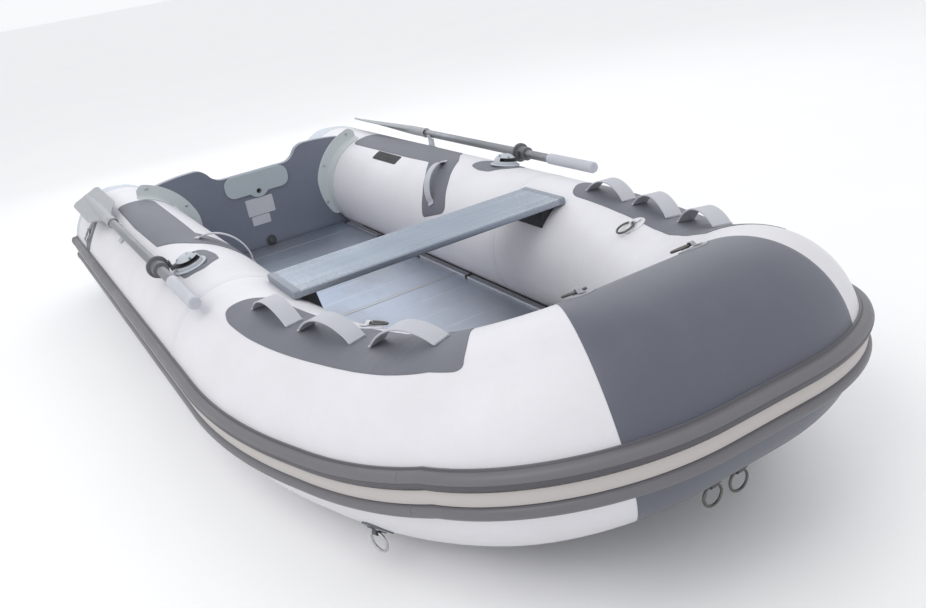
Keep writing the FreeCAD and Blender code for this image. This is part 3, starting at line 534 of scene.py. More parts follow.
@dataclass
class EffectShelf:
    """Builds each shared effect once, as a node group."""

    made: dict[Effect, bpy.types.NodeTree] = field(default_factory=dict)

    def tree(self, effect: Effect) -> bpy.types.NodeTree:
        """Returns an effect's node group, building it the first time."""
        if effect not in self.made:
            builders: dict[Effect, Callable[[], bpy.types.NodeTree]] = {
                Effect.WEAVE: self.weave, Effect.MOTTLE: self.mottle, Effect.WEAR: self.wear,
                Effect.DUST: self.dust, Effect.GRAIN: self.grain, Effect.BRUSHING: self.brushing}
            self.made[effect] = builders[effect]()
        return self.made[effect]

    def start(self, effect: Effect, inputs: dict[str, object],
              outputs: Iterable[tuple[str, str]]) -> tuple[Nodes, bpy.types.Node, bpy.types.Node]:
        """Starts a group with its named inputs and outputs.

        Args:
            effect: Which effect it is.
            inputs: Default value of each input; a tuple makes a colour.
            outputs: (name, socket type) of each output.

        Returns:
            The node writer, the group's input node and its output node.
        """
        tree = bpy.data.node_groups.new(effect.value, "ShaderNodeTree")
        for name, value in inputs.items():
            kind = "NodeSocketColor" if isinstance(value, tuple) else "NodeSocketFloat"
            socket = tree.interface.new_socket(name, in_out="INPUT", socket_type=kind)
            socket.default_value = (*value, 1.0) if isinstance(value, tuple) else value
        for name, kind in outputs:
            tree.interface.new_socket(name, in_out="OUTPUT", socket_type=kind)
        return Nodes(tree), tree.nodes.new("NodeGroupInput"), tree.nodes.new("NodeGroupOutput")

    def weave(self) -> bpy.types.NodeTree:
        """Builds the faint crossed threads that show through a coating."""
        nodes, given, out = self.start(Effect.WEAVE, {"Pitch": 0.0009, "Softness": 0.5},
                                       [("Height", "NodeSocketFloat")])
        place = nodes.add("SeparateXYZ", {0: nodes.flat()})
        waves = []
        for axis in (0, 1):
            turns = nodes.math("DIVIDE", place.outputs[axis], given.outputs["Pitch"])
            waves.append(nodes.math("SINE", nodes.math("MULTIPLY", turns, 2 * math.pi)))
        threads = nodes.math("MULTIPLY", waves[0], waves[1])
        pad = nodes.noise(nodes.stretched((1, 1, 1)), 260.0, 4.0, 0.6)
        soft = nodes.math("MULTIPLY", pad, given.outputs["Softness"])
        half = nodes.math("MULTIPLY", threads, 0.5)
        nodes.feed(out.inputs["Height"], nodes.math("ADD", half, soft))
        return nodes.tree

    def mottle(self) -> bpy.types.NodeTree:
        """Builds slow changes of tone and a little speckle."""
        nodes, given, out = self.start(
            Effect.MOTTLE, {"Colour": (0.5, 0.5, 0.5), "Tint": (0.5, 0.5, 0.5), "Amount": 0.3,
                            "Size": 3.0},
            [("Colour", "NodeSocketColor"), ("Mask", "NodeSocketFloat")])
        place = nodes.stretched((1, 1, 1))
        slow = nodes.add("TexNoise", {"Vector": place, "Scale": given.outputs["Size"],
                                      "Detail": 4.0, "Roughness": 0.6}).outputs["Fac"]
        fine = nodes.noise(place, 85.0, 3.0, 0.7)
        both = nodes.math("ADD", nodes.spread(slow, 0.35, 0.68, 0.0, 0.75),
                          nodes.spread(fine, 0.3, 0.75, 0.0, 0.25))
        share = nodes.math("MULTIPLY", both, given.outputs["Amount"])
        nodes.feed(out.inputs["Colour"], nodes.mix(share, given.outputs["Colour"],
                                                   given.outputs["Tint"]))
        nodes.feed(out.inputs["Mask"], both)
        return nodes.tree

    def wear(self) -> bpy.types.NodeTree:
        """Builds a mask that is strong on rubbed edges and broken up by scuffs."""
        nodes, given, out = self.start(Effect.WEAR, {"Amount": 0.5},
                                       [("Mask", "NodeSocketFloat")])
        sharp = nodes.add("NewGeometry").outputs["Pointiness"]
        edge = nodes.spread(sharp, 0.515, 0.60, 0.0, 1.0)
        scuff = nodes.spread(nodes.noise(nodes.stretched((1, 1, 1)), 140.0, 5.0, 0.7),
                             0.38, 0.62, 0.2, 1.0)
        mask = nodes.math("MULTIPLY", nodes.math("MULTIPLY", edge, scuff), given.outputs["Amount"])
        nodes.feed(out.inputs["Mask"], mask)
        return nodes.tree

    def dust(self) -> bpy.types.NodeTree:
        """Builds a mask of dust on faces that look up, and of grime low on the boat."""
        nodes, given, out = self.start(Effect.DUST, {"Amount": 0.3}, [("Mask", "NodeSocketFloat")])
        normal = nodes.add("SeparateXYZ", {0: nodes.add("NewGeometry").outputs["Normal"]})
        top = nodes.spread(normal.outputs[2], 0.35, 1.0, 0.0, 0.5)
        place = nodes.stretched((1, 1, 1))
        high = nodes.add("SeparateXYZ", {0: place}).outputs[2]
        low = nodes.spread(high, 0.0, 0.12, 1.0, 0.0)
        cloud = nodes.spread(nodes.noise(place, 7.0, 6.0, 0.65), 0.4, 0.7, 0.0, 1.0)
        mask = nodes.math("MULTIPLY", nodes.math("MAXIMUM", top, low), cloud)
        nodes.feed(out.inputs["Mask"], nodes.math("MULTIPLY", mask, given.outputs["Amount"]))
        return nodes.tree

    def grain(self) -> bpy.types.NodeTree:
        """Builds the fine leathery grain of a moulded or coated surface."""
        nodes, given, out = self.start(Effect.GRAIN, {"Size": 900.0, "Flow": 30.0},
                                       [("Height", "NodeSocketFloat")])
        place = nodes.stretched((1, 1, 1))
        cells = nodes.add("TexVoronoi", {"Vector": place, "Scale": given.outputs["Size"]})
        slow = nodes.add("TexNoise", {"Vector": place, "Scale": given.outputs["Flow"],
                                      "Detail": 4.0}).outputs["Fac"]
        nodes.feed(out.inputs["Height"], nodes.math(
            "ADD", nodes.math("MULTIPLY", cells.outputs["Distance"], 0.4), slow))
        return nodes.tree

    def brushing(self) -> bpy.types.NodeTree:
        """Builds fine lines along X, Y or both, by how far each axis is stretched."""
        nodes, given, out = self.start(
            Effect.BRUSHING, {"Along X": 4.0, "Along Y": 900.0},
            [("Lines", "NodeSocketFloat"), ("Smears", "NodeSocketFloat")])
        place = nodes.add("SeparateXYZ", {0: nodes.add("TexCoord").outputs["Object"]})
        scaled = nodes.add("CombineXYZ", {
            0: nodes.math("MULTIPLY", place.outputs[0], given.outputs["Along X"]),
            1: nodes.math("MULTIPLY", place.outputs[1], given.outputs["Along Y"]),
            2: nodes.math("MULTIPLY", place.outputs[2], 400.0)}).outputs[0]
        lines = nodes.noise(scaled, 1.0, 3.0, 0.7)
        smears = nodes.noise(nodes.stretched((2.2, 3.4, 2.2)), 1.0, 5.0, 0.62)
        nodes.feed(out.inputs["Lines"], lines)
        nodes.feed(out.inputs["Smears"], smears)
        return nodes.tree


EFFECTS = EffectShelf()


@dataclass(frozen=True)
class Finish:
    """What every finish has: a name, the record's slot, a colour and a roughness."""

    name: str
    slot: str
    colour: Colour
    roughness: float = 0.5

    def material(self) -> bpy.types.Material:
        """Returns the finish's material, building it the first time."""
        if self.name not in bpy.data.materials:
            made = bpy.data.materials.new(self.name)
            made.use_nodes = True
            made.node_tree.nodes.clear()
            nodes = Nodes(made.node_tree)
            shader = nodes.add("BsdfPrincipled", {"Base Color": self.colour,
                                                  "Roughness": self.roughness})
            nodes.add("OutputMaterial", {"Surface": shader.outputs[0]})
            made.diffuse_color = (*self.colour, 1.0)
            self.dress(nodes, shader)
        return bpy.data.materials[self.name]

    def dress(self, nodes: Nodes, shader: bpy.types.Node) -> None:
        """Adds the finish's own nodes to its shader."""
        raise NotImplementedError

    def paler(self, gain: float, lift: float) -> Colour:
        """Returns the finish's colour as it shows on rubbed edges."""
        red, green, blue = (min(1.0, value * gain + lift) for value in self.colour)
        return red, green, blue

    def rub(self, nodes: Nodes, shader: bpy.types.Node, amount: float, colour: Socket,
            worn: Colour) -> None:
        """Feeds the base colour, with another colour showing on rubbed edges."""
        wear = nodes.shared(Effect.WEAR, Amount=amount)
        nodes.feed(shader.inputs["Base Color"], nodes.mix(wear.outputs[0], colour, worn))

    def roughen(self, nodes: Nodes, shader: bpy.types.Node, value: Socket, within: Flat,
                change: Flat) -> None:
        """Feeds the roughness: a value within two limits changes it by two amounts."""
        rough = nodes.spread(value, *within, self.roughness + change[0],
                             self.roughness + change[1])
        nodes.feed(shader.inputs["Roughness"], rough)

    def raise_surface(self, nodes: Nodes, shader: bpy.types.Node, height: Socket,
                      strength: float, distance: float) -> None:
        """Feeds a height into the shader's normal through a bump node."""
        bump = nodes.add("Bump", {"Height": height, "Strength": strength, "Distance": distance})
        nodes.feed(shader.inputs["Normal"], bump.outputs[0])


@dataclass(frozen=True)
class CoatedFabric(Finish):
    """Polyester cloth with a satin plastic coating."""

    tint: Colour = (0.5, 0.5, 0.5)
    amount: float = 0.3
    dust: float = 0.12
    pitch: float = 0.0011
    sheen: float = 0.04

    def dress(self, nodes: Nodes, shader: bpy.types.Node) -> None:
        """Adds uneven tone, dust, a faint weave and a slightly uneven gloss."""
        tone = nodes.shared(Effect.MOTTLE, Colour=self.colour, Tint=self.tint, Amount=self.amount)
        dust = nodes.shared(Effect.DUST, Amount=self.dust)
        colour = nodes.mix(dust.outputs[0], tone.outputs["Colour"], (0.42, 0.41, 0.40))
        self.rub(nodes, shader, 0.25, colour, self.paler(1.25, 0.03))
        gloss = nodes.math("ADD", nodes.spread(tone.outputs["Mask"], 0.0, 1.0,
                                               self.roughness - 0.05, self.roughness + 0.06),
                           nodes.math("MULTIPLY", dust.outputs[0], 0.5))
        nodes.feed(shader.inputs["Roughness"], gloss)
        shader.inputs["Sheen Weight"].default_value = self.sheen
        shader.inputs["Sheen Roughness"].default_value = 0.4
        weave = nodes.shared(Effect.WEAVE, Pitch=self.pitch, Softness=0.8)
        self.raise_surface(nodes, shader, weave.outputs[0], 0.16, 0.0006)


@dataclass(frozen=True)
class Rubber(Finish):
    """Extruded or moulded rubber, with faint drawn lines and a dull bloom."""

    bloom: Colour = (0.3, 0.3, 0.3)
    amount: float = 0.3

    def dress(self, nodes: Nodes, shader: bpy.types.Node) -> None:
        """Adds drawn lines along the piece, bloom and rubbed edges."""
        tone = nodes.shared(Effect.MOTTLE, Colour=self.colour, Tint=self.bloom,
                            Amount=self.amount, Size=6.0)
        self.rub(nodes, shader, 0.35, tone.outputs["Colour"], self.bloom)
        lines = nodes.noise(nodes.flat((700.0, 3.0, 1.0)), 1.0, 3.0, 0.6)
        both = nodes.math("ADD", lines, tone.outputs["Mask"])
        self.roughen(nodes, shader, both, (0.4, 1.4), (-0.08, 0.1))
        self.raise_surface(nodes, shader, lines, 0.14, 0.0006)


@dataclass(frozen=True)
class Moulded(Finish):
    """Moulded plastic with a fine grain and slightly polished edges."""

    tint: Colour = (0.4, 0.4, 0.4)
    amount: float = 0.35
    grain: float = 0.12

    def dress(self, nodes: Nodes, shader: bpy.types.Node) -> None:
        """Adds grain, uneven tone and worn edges."""
        tone = nodes.shared(Effect.MOTTLE, Colour=self.colour, Tint=self.tint,
                            Amount=self.amount, Size=14.0)
        self.rub(nodes, shader, 0.4, tone.outputs["Colour"], self.paler(1.3, 0.04))
        grain = nodes.shared(Effect.GRAIN, Size=1100.0, Flow=45.0)
        self.roughen(nodes, shader, grain.outputs[0], (0.3, 0.9), (-0.06, 0.08))
        self.raise_surface(nodes, shader, grain.outputs[0], self.grain, 0.0008)


@dataclass(frozen=True)
class Aluminium(Finish):
    """Brushed, anodised aluminium with hand smears and fine scratches."""

    smear: Colour = (0.5, 0.5, 0.5)
    along: Flat = (4.0, 900.0)
    smear_share: float = 0.75
    # Strength of the painted reflection that grows towards the bow.
    bow_reflection: float = 0.0

    def dress(self, nodes: Nodes, shader: bpy.types.Node) -> None:
        """Adds brushing, smears, scratches and a painted reflection towards the bow."""
        brushed = nodes.shared(Effect.BRUSHING, Along_X=self.along[0], Along_Y=self.along[1])
        lines, smears = brushed.outputs["Lines"], brushed.outputs["Smears"]
        share = nodes.math("MULTIPLY", nodes.spread(smears, 0.36, 0.66, 0.0, 1.0),
                           self.smear_share)
        # Painted reflection: the deck turns to the smear colour towards the bow.
        if self.bow_reflection:
            forward = nodes.add("SeparateXYZ", {0: nodes.stretched((1, 1, 1))}).outputs[0]
            bow = nodes.spread(forward, -0.3, 0.6, 0.0, self.bow_reflection)
            share = nodes.math("MAXIMUM", share, bow)
        colour = nodes.mix(share, self.colour, self.smear)
        darker = tuple(value * 0.86 for value in self.colour)
        streaks = nodes.spread(lines, 0.35, 0.7, 0.0, 0.35)
        colour = nodes.mix(streaks, colour, darker)
        self.rub(nodes, shader, 0.4, colour, (0.9, 0.9, 0.9))
        shader.inputs["Metallic"].default_value = 1.0
        rough = nodes.math("ADD", nodes.spread(lines, 0.3, 0.7, self.roughness - 0.05,
                                               self.roughness + 0.05),
                           nodes.spread(smears, 0.4, 0.7, 0.0, 0.12))
        nodes.feed(shader.inputs["Roughness"], rough)
        self.raise_surface(nodes, shader, lines, 0.08, 0.0004)


@dataclass(frozen=True)
class Lacquer(Finish):
    """Plywood under a tinted lacquer: the grain shows as a faint relief."""

    tint: Colour = (0.3, 0.3, 0.3)

    def dress(self, nodes: Nodes, shader: bpy.types.Node) -> None:
        """Adds grain relief, orange peel and worn edges."""
        tone = nodes.shared(Effect.MOTTLE, Colour=self.colour, Tint=self.tint, Amount=0.35,
                            Size=5.0)
        self.rub(nodes, shader, 0.5, tone.outputs["Colour"], (0.30, 0.31, 0.33))
        veins = nodes.noise(nodes.stretched((60.0, 5.0, 90.0)), 1.0, 5.0, 0.65)
        peel = nodes.noise(nodes.stretched((1, 1, 1)), 220.0, 2.0, 0.5)
        height = nodes.math("ADD", veins, nodes.math("MULTIPLY", peel, 0.35))
        self.roughen(nodes, shader, veins, (0.3, 0.7), (-0.05, 0.07))
        shader.inputs["Coat Weight"].default_value = 0.25
        shader.inputs["Coat Roughness"].default_value = 0.22
        self.raise_surface(nodes, shader, height, 0.12, 0.0008)


@dataclass(frozen=True)
class Steel(Finish):
    """Drawn stainless wire and screws."""

    def dress(self, nodes: Nodes, shader: bpy.types.Node) -> None:
        """Adds drawn streaks, a dull film and a trace of staining."""
        tone = nodes.shared(Effect.MOTTLE, Colour=self.colour, Tint=(0.33, 0.30, 0.27),
                            Amount=0.35, Size=30.0)
        nodes.feed(shader.inputs["Base Color"], tone.outputs["Colour"])
        shader.inputs["Metallic"].default_value = 1.0
        fine = nodes.noise(nodes.stretched((1, 1, 1)), 600.0, 3.0, 0.7)
        self.roughen(nodes, shader, fine, (0.3, 0.7), (-0.06, 0.1))
        self.raise_surface(nodes, shader, fine, 0.08, 0.0003)


@dataclass(frozen=True)
class Webbing(Finish):
    """Heavy strap: coated webbing whose ribs run along it."""

    tint: Colour = (0.4, 0.4, 0.4)

    def dress(self, nodes: Nodes, shader: bpy.types.Node) -> None:
        """Adds ribs along the strap with painted shade in their valleys, cross threads, uneven tone
        and fluffed edges.
        """
        tone = nodes.shared(Effect.MOTTLE, Colour=self.colour, Tint=self.tint, Amount=0.4,
                            Size=22.0)
        place = nodes.add("SeparateXYZ", {0: nodes.flat()})
        ribs = nodes.math("SINE", nodes.math("MULTIPLY", place.outputs[0], 2 * math.pi / 0.0028))
        cross = nodes.math("SINE", nodes.math("MULTIPLY", place.outputs[1], 2 * math.pi / 0.0016))
        knots = nodes.math("MULTIPLY", nodes.math("MULTIPLY", ribs, cross), 0.5)
        height = nodes.math("ADD", ribs, knots)
        # Painted shade: the valleys between the ribs are darkened towards 0.6 of the colour.
        shade = nodes.spread(ribs, -1.0, 1.0, 0.16, 0.0)
        darker = tuple(value * 0.6 for value in self.colour)
        colour = nodes.mix(shade, tone.outputs["Colour"], darker)
        self.rub(nodes, shader, 0.3, colour, self.paler(1.2, 0.02))
        self.roughen(nodes, shader, height, (-1.5, 1.5), (0.05, -0.05))
        self.raise_surface(nodes, shader, height, 0.22, 0.0004)


WHITE_TUBE = CoatedFabric("white coated fabric", "tube_white", (0.700, 0.693, 0.730), 0.40,
                          tint=(0.60, 0.59, 0.615), amount=0.62)
WHITE_TAPE = CoatedFabric("white seam tape", "tube_white", (0.655, 0.655, 0.69), 0.44,
                          tint=(0.60, 0.60, 0.635), amount=0.5)
BOW_CLOTH = CoatedFabric("slate coated fabric", "tube_dark", (0.082, 0.090, 0.118), 0.40,
                         tint=(0.105, 0.113, 0.145), amount=0.6, dust=0.10, sheen=0.10)
CONE_CLOTH = CoatedFabric("pale blue coated fabric", "cone_grey", (0.50, 0.54, 0.60), 0.42,
                          tint=(0.46, 0.50, 0.56), amount=0.5)
PATCH_CLOTH = CoatedFabric("grained patch cloth", "patch_grey", (0.118, 0.124, 0.152), 0.55,
                           tint=(0.145, 0.152, 0.182), amount=0.6, dust=0.2, pitch=0.0016)
PAD_CLOTH = CoatedFabric("pale pad cloth", "patch_grey", (0.30, 0.31, 0.34), 0.5,
                         tint=(0.35, 0.36, 0.39), amount=0.6, dust=0.2, pitch=0.0016)
BOTTOM_CLOTH = CoatedFabric("heavy bottom cloth", "bottom_grey", (0.12, 0.125, 0.14), 0.6,
                            tint=(0.16, 0.16, 0.17), amount=0.6, dust=0.5, pitch=0.0018)
STRAKE_RUBBER = Rubber("strake rubber", "strake_grey", (0.128, 0.125, 0.138), 0.42,
                       bloom=(0.165, 0.162, 0.175))
STRIPE_RUBBER = Rubber("pale stripe rubber", "stripe_pale", (0.47, 0.44, 0.425), 0.5,
                       bloom=(0.52, 0.49, 0.475))
# Dark rubber used only for painted shade on the strake: the down-facing lower half of the upper
# bead and a shadow line along its top edge.
STRAKE_PAINTED_SHADE = Rubber("painted shade on strake", "strake_grey", (0.066, 0.063, 0.074), 0.45,
                     bloom=(0.10, 0.095, 0.11))
BLACK_RUBBER = Rubber("black rubber", "rubber_black", (0.022, 0.022, 0.026), 0.6,
                      bloom=(0.05, 0.05, 0.055))
BOARD_LACQUER = Lacquer("board lacquer", "board_grey", (0.140, 0.155, 0.205), 0.42,
                        tint=(0.165, 0.18, 0.23))
PALE_PLASTIC = Moulded("pale moulded plastic", "fitting_grey", (0.45, 0.48, 0.52), 0.5,
                       tint=(0.50, 0.53, 0.57))
HOLDER_PLASTIC = Moulded("greenish moulded plastic", "fitting_grey", (0.49, 0.53, 0.545), 0.5,
                         tint=(0.49, 0.53, 0.54))
PAD_PLASTIC = Moulded("clamp pad plastic", "fitting_grey", (0.36, 0.41, 0.44), 0.55,
                      tint=(0.41, 0.46, 0.49))
COLLAR_PLASTIC = Moulded("collar plastic", "fitting_dark", (0.125, 0.125, 0.142), 0.45,
                         tint=(0.16, 0.16, 0.175))
DARK_PLASTIC = Moulded("dark moulded plastic", "fitting_dark", (0.055, 0.056, 0.062), 0.5,
                       tint=(0.085, 0.085, 0.09))
CAP_PLASTIC = Moulded("bench cap plastic", "fitting_grey", (0.23, 0.255, 0.30), 0.5,
                      tint=(0.27, 0.295, 0.34))
PLATE_PLASTIC = Moulded("blank plate", "fitting_dark", (0.46, 0.47, 0.51), 0.4,
                        tint=(0.52, 0.53, 0.57))
BLACK_PLATE = Moulded("black blank plate", "fitting_dark", (0.016, 0.016, 0.018), 0.62,
                      tint=(0.03, 0.03, 0.03))
GRIP_PLASTIC = Moulded("grip plastic", "blade_grey", (0.47, 0.485, 0.53), 0.45,
                       tint=(0.42, 0.435, 0.47), grain=0.16)
BLADE_PLASTIC = Moulded("oar plastic", "blade_grey", (0.33, 0.345, 0.365), 0.45,
                        tint=(0.39, 0.40, 0.415), grain=0.16)
HANDLE_STRAP = Webbing("pale strap", "fitting_grey", (0.47, 0.48, 0.52), 0.52,
                       tint=(0.42, 0.43, 0.47))
RING_STRAP = Webbing("slate strap", "patch_grey", (0.09, 0.095, 0.11), 0.65,
                     tint=(0.12, 0.13, 0.14))
DECK_METAL = Aluminium("brushed deck aluminium", "deck_aluminium", (0.48, 0.54, 0.645), 0.40,
                       smear=(0.36, 0.355, 0.37), along=(900.0, 4.0), bow_reflection=0.8)
BOW_METAL = Aluminium("brushed bow aluminium", "deck_aluminium", (0.46, 0.51, 0.60), 0.40,
                      smear=(0.38, 0.365, 0.36), along=(900.0, 4.0), bow_reflection=0.95)
BENCH_METAL = Aluminium("brushed bench aluminium", "deck_aluminium", (0.32, 0.365, 0.435), 0.44,
                        smear=(0.28, 0.315, 0.375), along=(150.0, 2.0), smear_share=0.4)
RAIL_METAL = Aluminium("stringer aluminium", "deck_aluminium", (0.47, 0.49, 0.53), 0.36,
                       smear=(0.38, 0.38, 0.41), along=(4.0, 900.0))
SHAFT_METAL = Aluminium("oar shaft aluminium", "shaft_aluminium", (0.25, 0.26, 0.28), 0.46,
                        smear=(0.20, 0.205, 0.22), along=(3.0, 700.0))
STEEL_WIRE = Steel("stainless steel", "steel", (0.55, 0.55, 0.56), 0.28)
DARK_WIRE = Steel("weathered steel", "steel", (0.13, 0.13, 0.13), 0.5)


# --- hull ------------------------------------------------------------------------------

@dataclass
class Tubes:
    """The inflated tubes: white sides, slate bow, pale stern cones and their seam tapes."""

    segments: int = 96
    lap: float = 0.0009
    cone_long: float = 0.190
    cone_tip: float = 0.082
    cone_rise: float = 0.092
    cone_inset: float = 0.018
    tape_wide: float = 0.034
    chamber_seam: float = 1.392
    bow_seam: float = field(init=False)

    def __post_init__(self) -> None:
        """Finds the seam between the white tube and the slate bow."""
        self.bow_seam = HULL.length / 2 - HULL.bow_half_girth

    def build(self) -> None:
        """Builds every part of the inflated tube."""
        self.tube(0.0, self.bow_seam, "tube_starboard", WHITE_TUBE)
        self.tube(HULL.length - self.bow_seam, HULL.length, "tube_port", WHITE_TUBE)
        self.bow()
        for side in Side:
            self.cone(side)
            self.tapes(side)
        self.baffles()

    def ring(self, travel: float, high: float = 0.0) -> list[Vector]:
        """Returns one row round the tube, with the gathers of the bends."""
        angles = [360.0 * i / self.segments for i in range(self.segments)]
        return [HULL.point(travel, angle, high + HULL.pucker(travel, angle)) for angle in angles]

    def tube(self, start: float, end: float, node: str, finish: Finish) -> None:
        """Builds one white side tube in place of its CAD shell."""
        skin = Skin()
        skin.net([self.ring(travel) for travel in HULL.stations(start, end)], around=True)
        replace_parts(skin.piece(f"{node}_skin", "hull", finish, sharp=50), node)

    def bow(self) -> None:
        """Builds the slate bow, whose cloth laps over the white with a thin edge."""
        skin = Skin()
        start, end = self.bow_seam - 0.004, HULL.length - self.bow_seam + 0.004
        marks = HULL.stations(start, end)
        rows = [self.ring(start, -0.0006), self.ring(start + 0.0001, self.lap * 0.8)]
        rows += [self.ring(travel, self.lap) for travel in marks[1:-1]]
        rows += [self.ring(end - 0.0001, self.lap * 0.8), self.ring(end, -0.0006)]
        skin.net(rows, around=True)
        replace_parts(skin.piece("tube_bow_skin", "hull", BOW_CLOTH, sharp=60), "tube_bow")

    def cone_row(self, share: float, side: Side) -> list[Vector]:
        """Returns one row round a stern cone, at a share of its length."""
        taper = share * share
        radius = HULL.radius - (HULL.radius - self.cone_tip) * taper
        x = HULL.transom - HULL.overhang - share * self.cone_long
        y = side.value * (HULL.half_spacing - self.cone_inset * taper)
        z = HULL.radius + self.cone_rise * taper
        gather = 0.0016 * math.sin(math.pi * share)
        row = []
        for turn in turns(self.segments):
            reach = radius + gather * math.sin(turn * 11 + 1.3)
            row.append(Vector((x, y + reach * math.cos(turn), z + reach * math.sin(turn))))
        return row

    def cone(self, side: Side) -> None:
        """Builds one stern cone with its domed end disc."""
        skin = Skin()
        rows = [self.cone_row(i / 20, side) for i in range(21)]
        centre = Vector((HULL.transom - HULL.overhang - self.cone_long,
                         side.value * (HULL.half_spacing - self.cone_inset),
                         HULL.radius + self.cone_rise))
        for share in (0.94, 0.8, 0.6, 0.4, 0.2, 0.06):
            out = 0.010 * (1 - share * share)
            rows.append([centre + (point - centre) * share - Vector((out, 0, 0))
                         for point in rows[20]])
        skin.solid(rows)
        piece = skin.piece(f"stern_cone_{side.label}", "hull", CONE_CLOTH, sharp=50)
        if side is Side.STARBOARD:
            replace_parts(piece, "stern_cones")

    def band(self, start: float, end: float, finish: Finish, name: str) -> None:
        """Builds a seam tape round the tube between two distances."""
        skin = Skin()
        marks = HULL.stations(start, end, 0.012)
        rows = [self.ring(start, -0.0004), self.ring(start + 0.0005, 0.0007)]
        rows += [self.ring(travel, 0.0008) for travel in marks[1:-1]]
        rows += [self.ring(end - 0.0005, 0.0007), self.ring(end, -0.0004)]
        skin.net(rows, around=True)
        skin.piece(name, "hull", finish, sharp=60)

    def tapes(self, side: Side) -> None:
        """Builds the tapes over one side's chamber seam and cone seam."""
        start, end = HULL.span(side, self.chamber_seam - self.tape_wide / 2,
                               self.chamber_seam + self.tape_wide / 2)
        self.band(start, end, WHITE_TAPE, f"chamber_tape_{side.label}")
        start, end = HULL.span(side, -HULL.overhang + 0.0005, -HULL.overhang + 0.04)
        self.band(start, end, CONE_CLOTH, f"cone_tape_{side.label}")

    def baffles(self) -> None:
        """Builds the cloth walls between the air chambers, bulged by the fuller one."""
        for side in Side:
            travel = HULL.travel_at(self.chamber_seam, side)
            spot, direction, _, _ = HULL.axes(travel)
            skin = Skin()
            steps = [(0.213 * math.sin(math.radians(a)), 0.05 * math.cos(math.radians(a)) - 0.05)
                     for a in range(90, -1, -10)]
            skin.lathe(facing(spot, direction), steps[:-1] + [(0.0, 0.0)], 64)
            piece = skin.piece(f"chamber_wall_{side.label}", "hull", WHITE_TAPE)
            if side is Side.STARBOARD:
                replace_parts(piece, "chamber_baffles")


@dataclass
class Strakes:
    """The rubbing strake: a broad upper bead, a groove with a pale strip, and a lower bead."""

    upper: tuple[float, float, float] = (9.1, 4.3, 0.0247)
    lower: tuple[float, float, float] = (-7.9, 3.5, 0.0215)
    groove: float = 0.0088
    end_gap: float = 0.004
    split: float = field(init=False)

    def __post_init__(self) -> None:
        """Finds the joints of the bow length."""
        self.split = HULL.length / 2 - HULL.bow_half_girth - 0.260

    def bead(self, turn: float, middle: float, half: float, top: float) -> Flat:
        """Returns a bead's (angle, height) at a turn over it, from its middle, half and top."""
        return (middle + half * math.cos(turn),
                self.groove + (top - self.groove) * math.sin(turn) ** 0.8)

    def section(self) -> list[Flat]:
        """Returns the strake's section as (angle, height) pairs."""
        upper = [self.bead(math.pi * step / 12, *self.upper) for step in range(13)]
        lower = [self.bead(math.pi * step / 10, *self.lower) for step in range(11)]
        skirt_top = [(14.6, 0.0002), (14.5, 0.0042), (13.9, 0.0052), (13.55, 0.0068)]
        skirt_low = [(-11.55, 0.0062), (-11.9, 0.0046), (-12.3, 0.0036), (-12.4, 0.0002)]
        floor = [(4.45, 0.0082), (4.3, 0.0088), (-4.1, 0.0088), (-4.25, 0.0082)]
        under = [(-8.0, -0.001), (0.0, -0.001), (9.0, -0.001)]
        return skirt_top + upper + floor + lower + skirt_low + under

    def length_of(self, start: float, end: float, section: Sequence[Flat], name: str,
                  finish: Finish, node: str | None) -> None:
        """Builds one length of a section that follows the tube, in place of a node if given."""
        skin = Skin()
        skin.solid([[HULL.point(travel, angle, high) for angle, high in section]
                    for travel in HULL.stations(start, end, 0.04, 0.012)])
        piece = skin.piece(name, "hull", finish, sharp=40)
        if node:
            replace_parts(piece, node)

    def build(self) -> None:
        """Builds the three lengths of strake, the strip, two thin strips of painted shade and the
        stern end caps.
        """
        gap = 0.0006
        section = self.section()
        total = HULL.length
        self.length_of(0.0, self.split - gap, section, "strake_starboard_rubber", STRAKE_RUBBER,
                       "strake_starboard")
        self.length_of(self.split, total - self.split, section, "strake_bow_rubber",
                       STRAKE_RUBBER, "strake_bow")
        self.length_of(total - self.split + gap, total, section, "strake_port_rubber",
                       STRAKE_RUBBER, "strake_port")
        strip = [(3.9, 0.0086), (3.8, 0.0116), (2.6, 0.0124), (0.0, 0.0128), (-2.4, 0.0124),
                 (-3.6, 0.0116), (-3.7, 0.0086)]
        first, last = self.end_gap, total - self.end_gap
        self.length_of(first, last, strip, "strake_strip", STRIPE_RUBBER, "strake_stripe")
        # Two thin dark strips of painted shade: one over the lower half of the upper bead, and a
        # shadow line along the strake's top edge.
        for name, line in (("strake_shade", self.over_bead(0.54, 0.93)),
                           ("strake_lip_painted_shade", [(14.45, 0.0040), (14.4, 0.0047), (13.9, 0.0057),
                                           (13.5, 0.0078), (13.4, 0.0060)])):
            self.length_of(first, last, line, name, STRAKE_PAINTED_SHADE, None)
        for side in Side:
            self.end_cap(side)

    def over_bead(self, first: float, last: float) -> list[Flat]:
        """Returns the section of a thin strip of painted shade over part of the upper bead.

        Args:
            first: Where it starts, as a share of the bead's half turn.
            last: Where it ends.
        """
        line = [self.bead(math.pi * (first + (last - first) * step / 8), *self.upper)
                for step in range(9)]
        return ([(angle, high + 0.0005) for angle, high in line]
                + [(angle, high - 0.0008) for angle, high in reversed(line)])

    def end_cap(self, side: Side) -> None:
        """Builds the moulded cap that closes a strake at the stern."""
        skin = Skin()
        start = HULL.travel_at(-HULL.overhang, side)
        rows = []
        for share, high in ((0.0, 0.0), (0.004, 0.7), (0.012, 1.0), (0.030, 1.0), (0.034, 0.8)):
            rows.append([HULL.point(start - side.value * share, angle * (0.985 + 0.05 * high),
                                    max(level, 0.0) * high + 0.0012 * high)
                         for angle, level in self.section()])
        skin.solid(rows)
        skin.piece(f"strake_end_{side.label}", "hull", STRAKE_RUBBER, sharp=40)


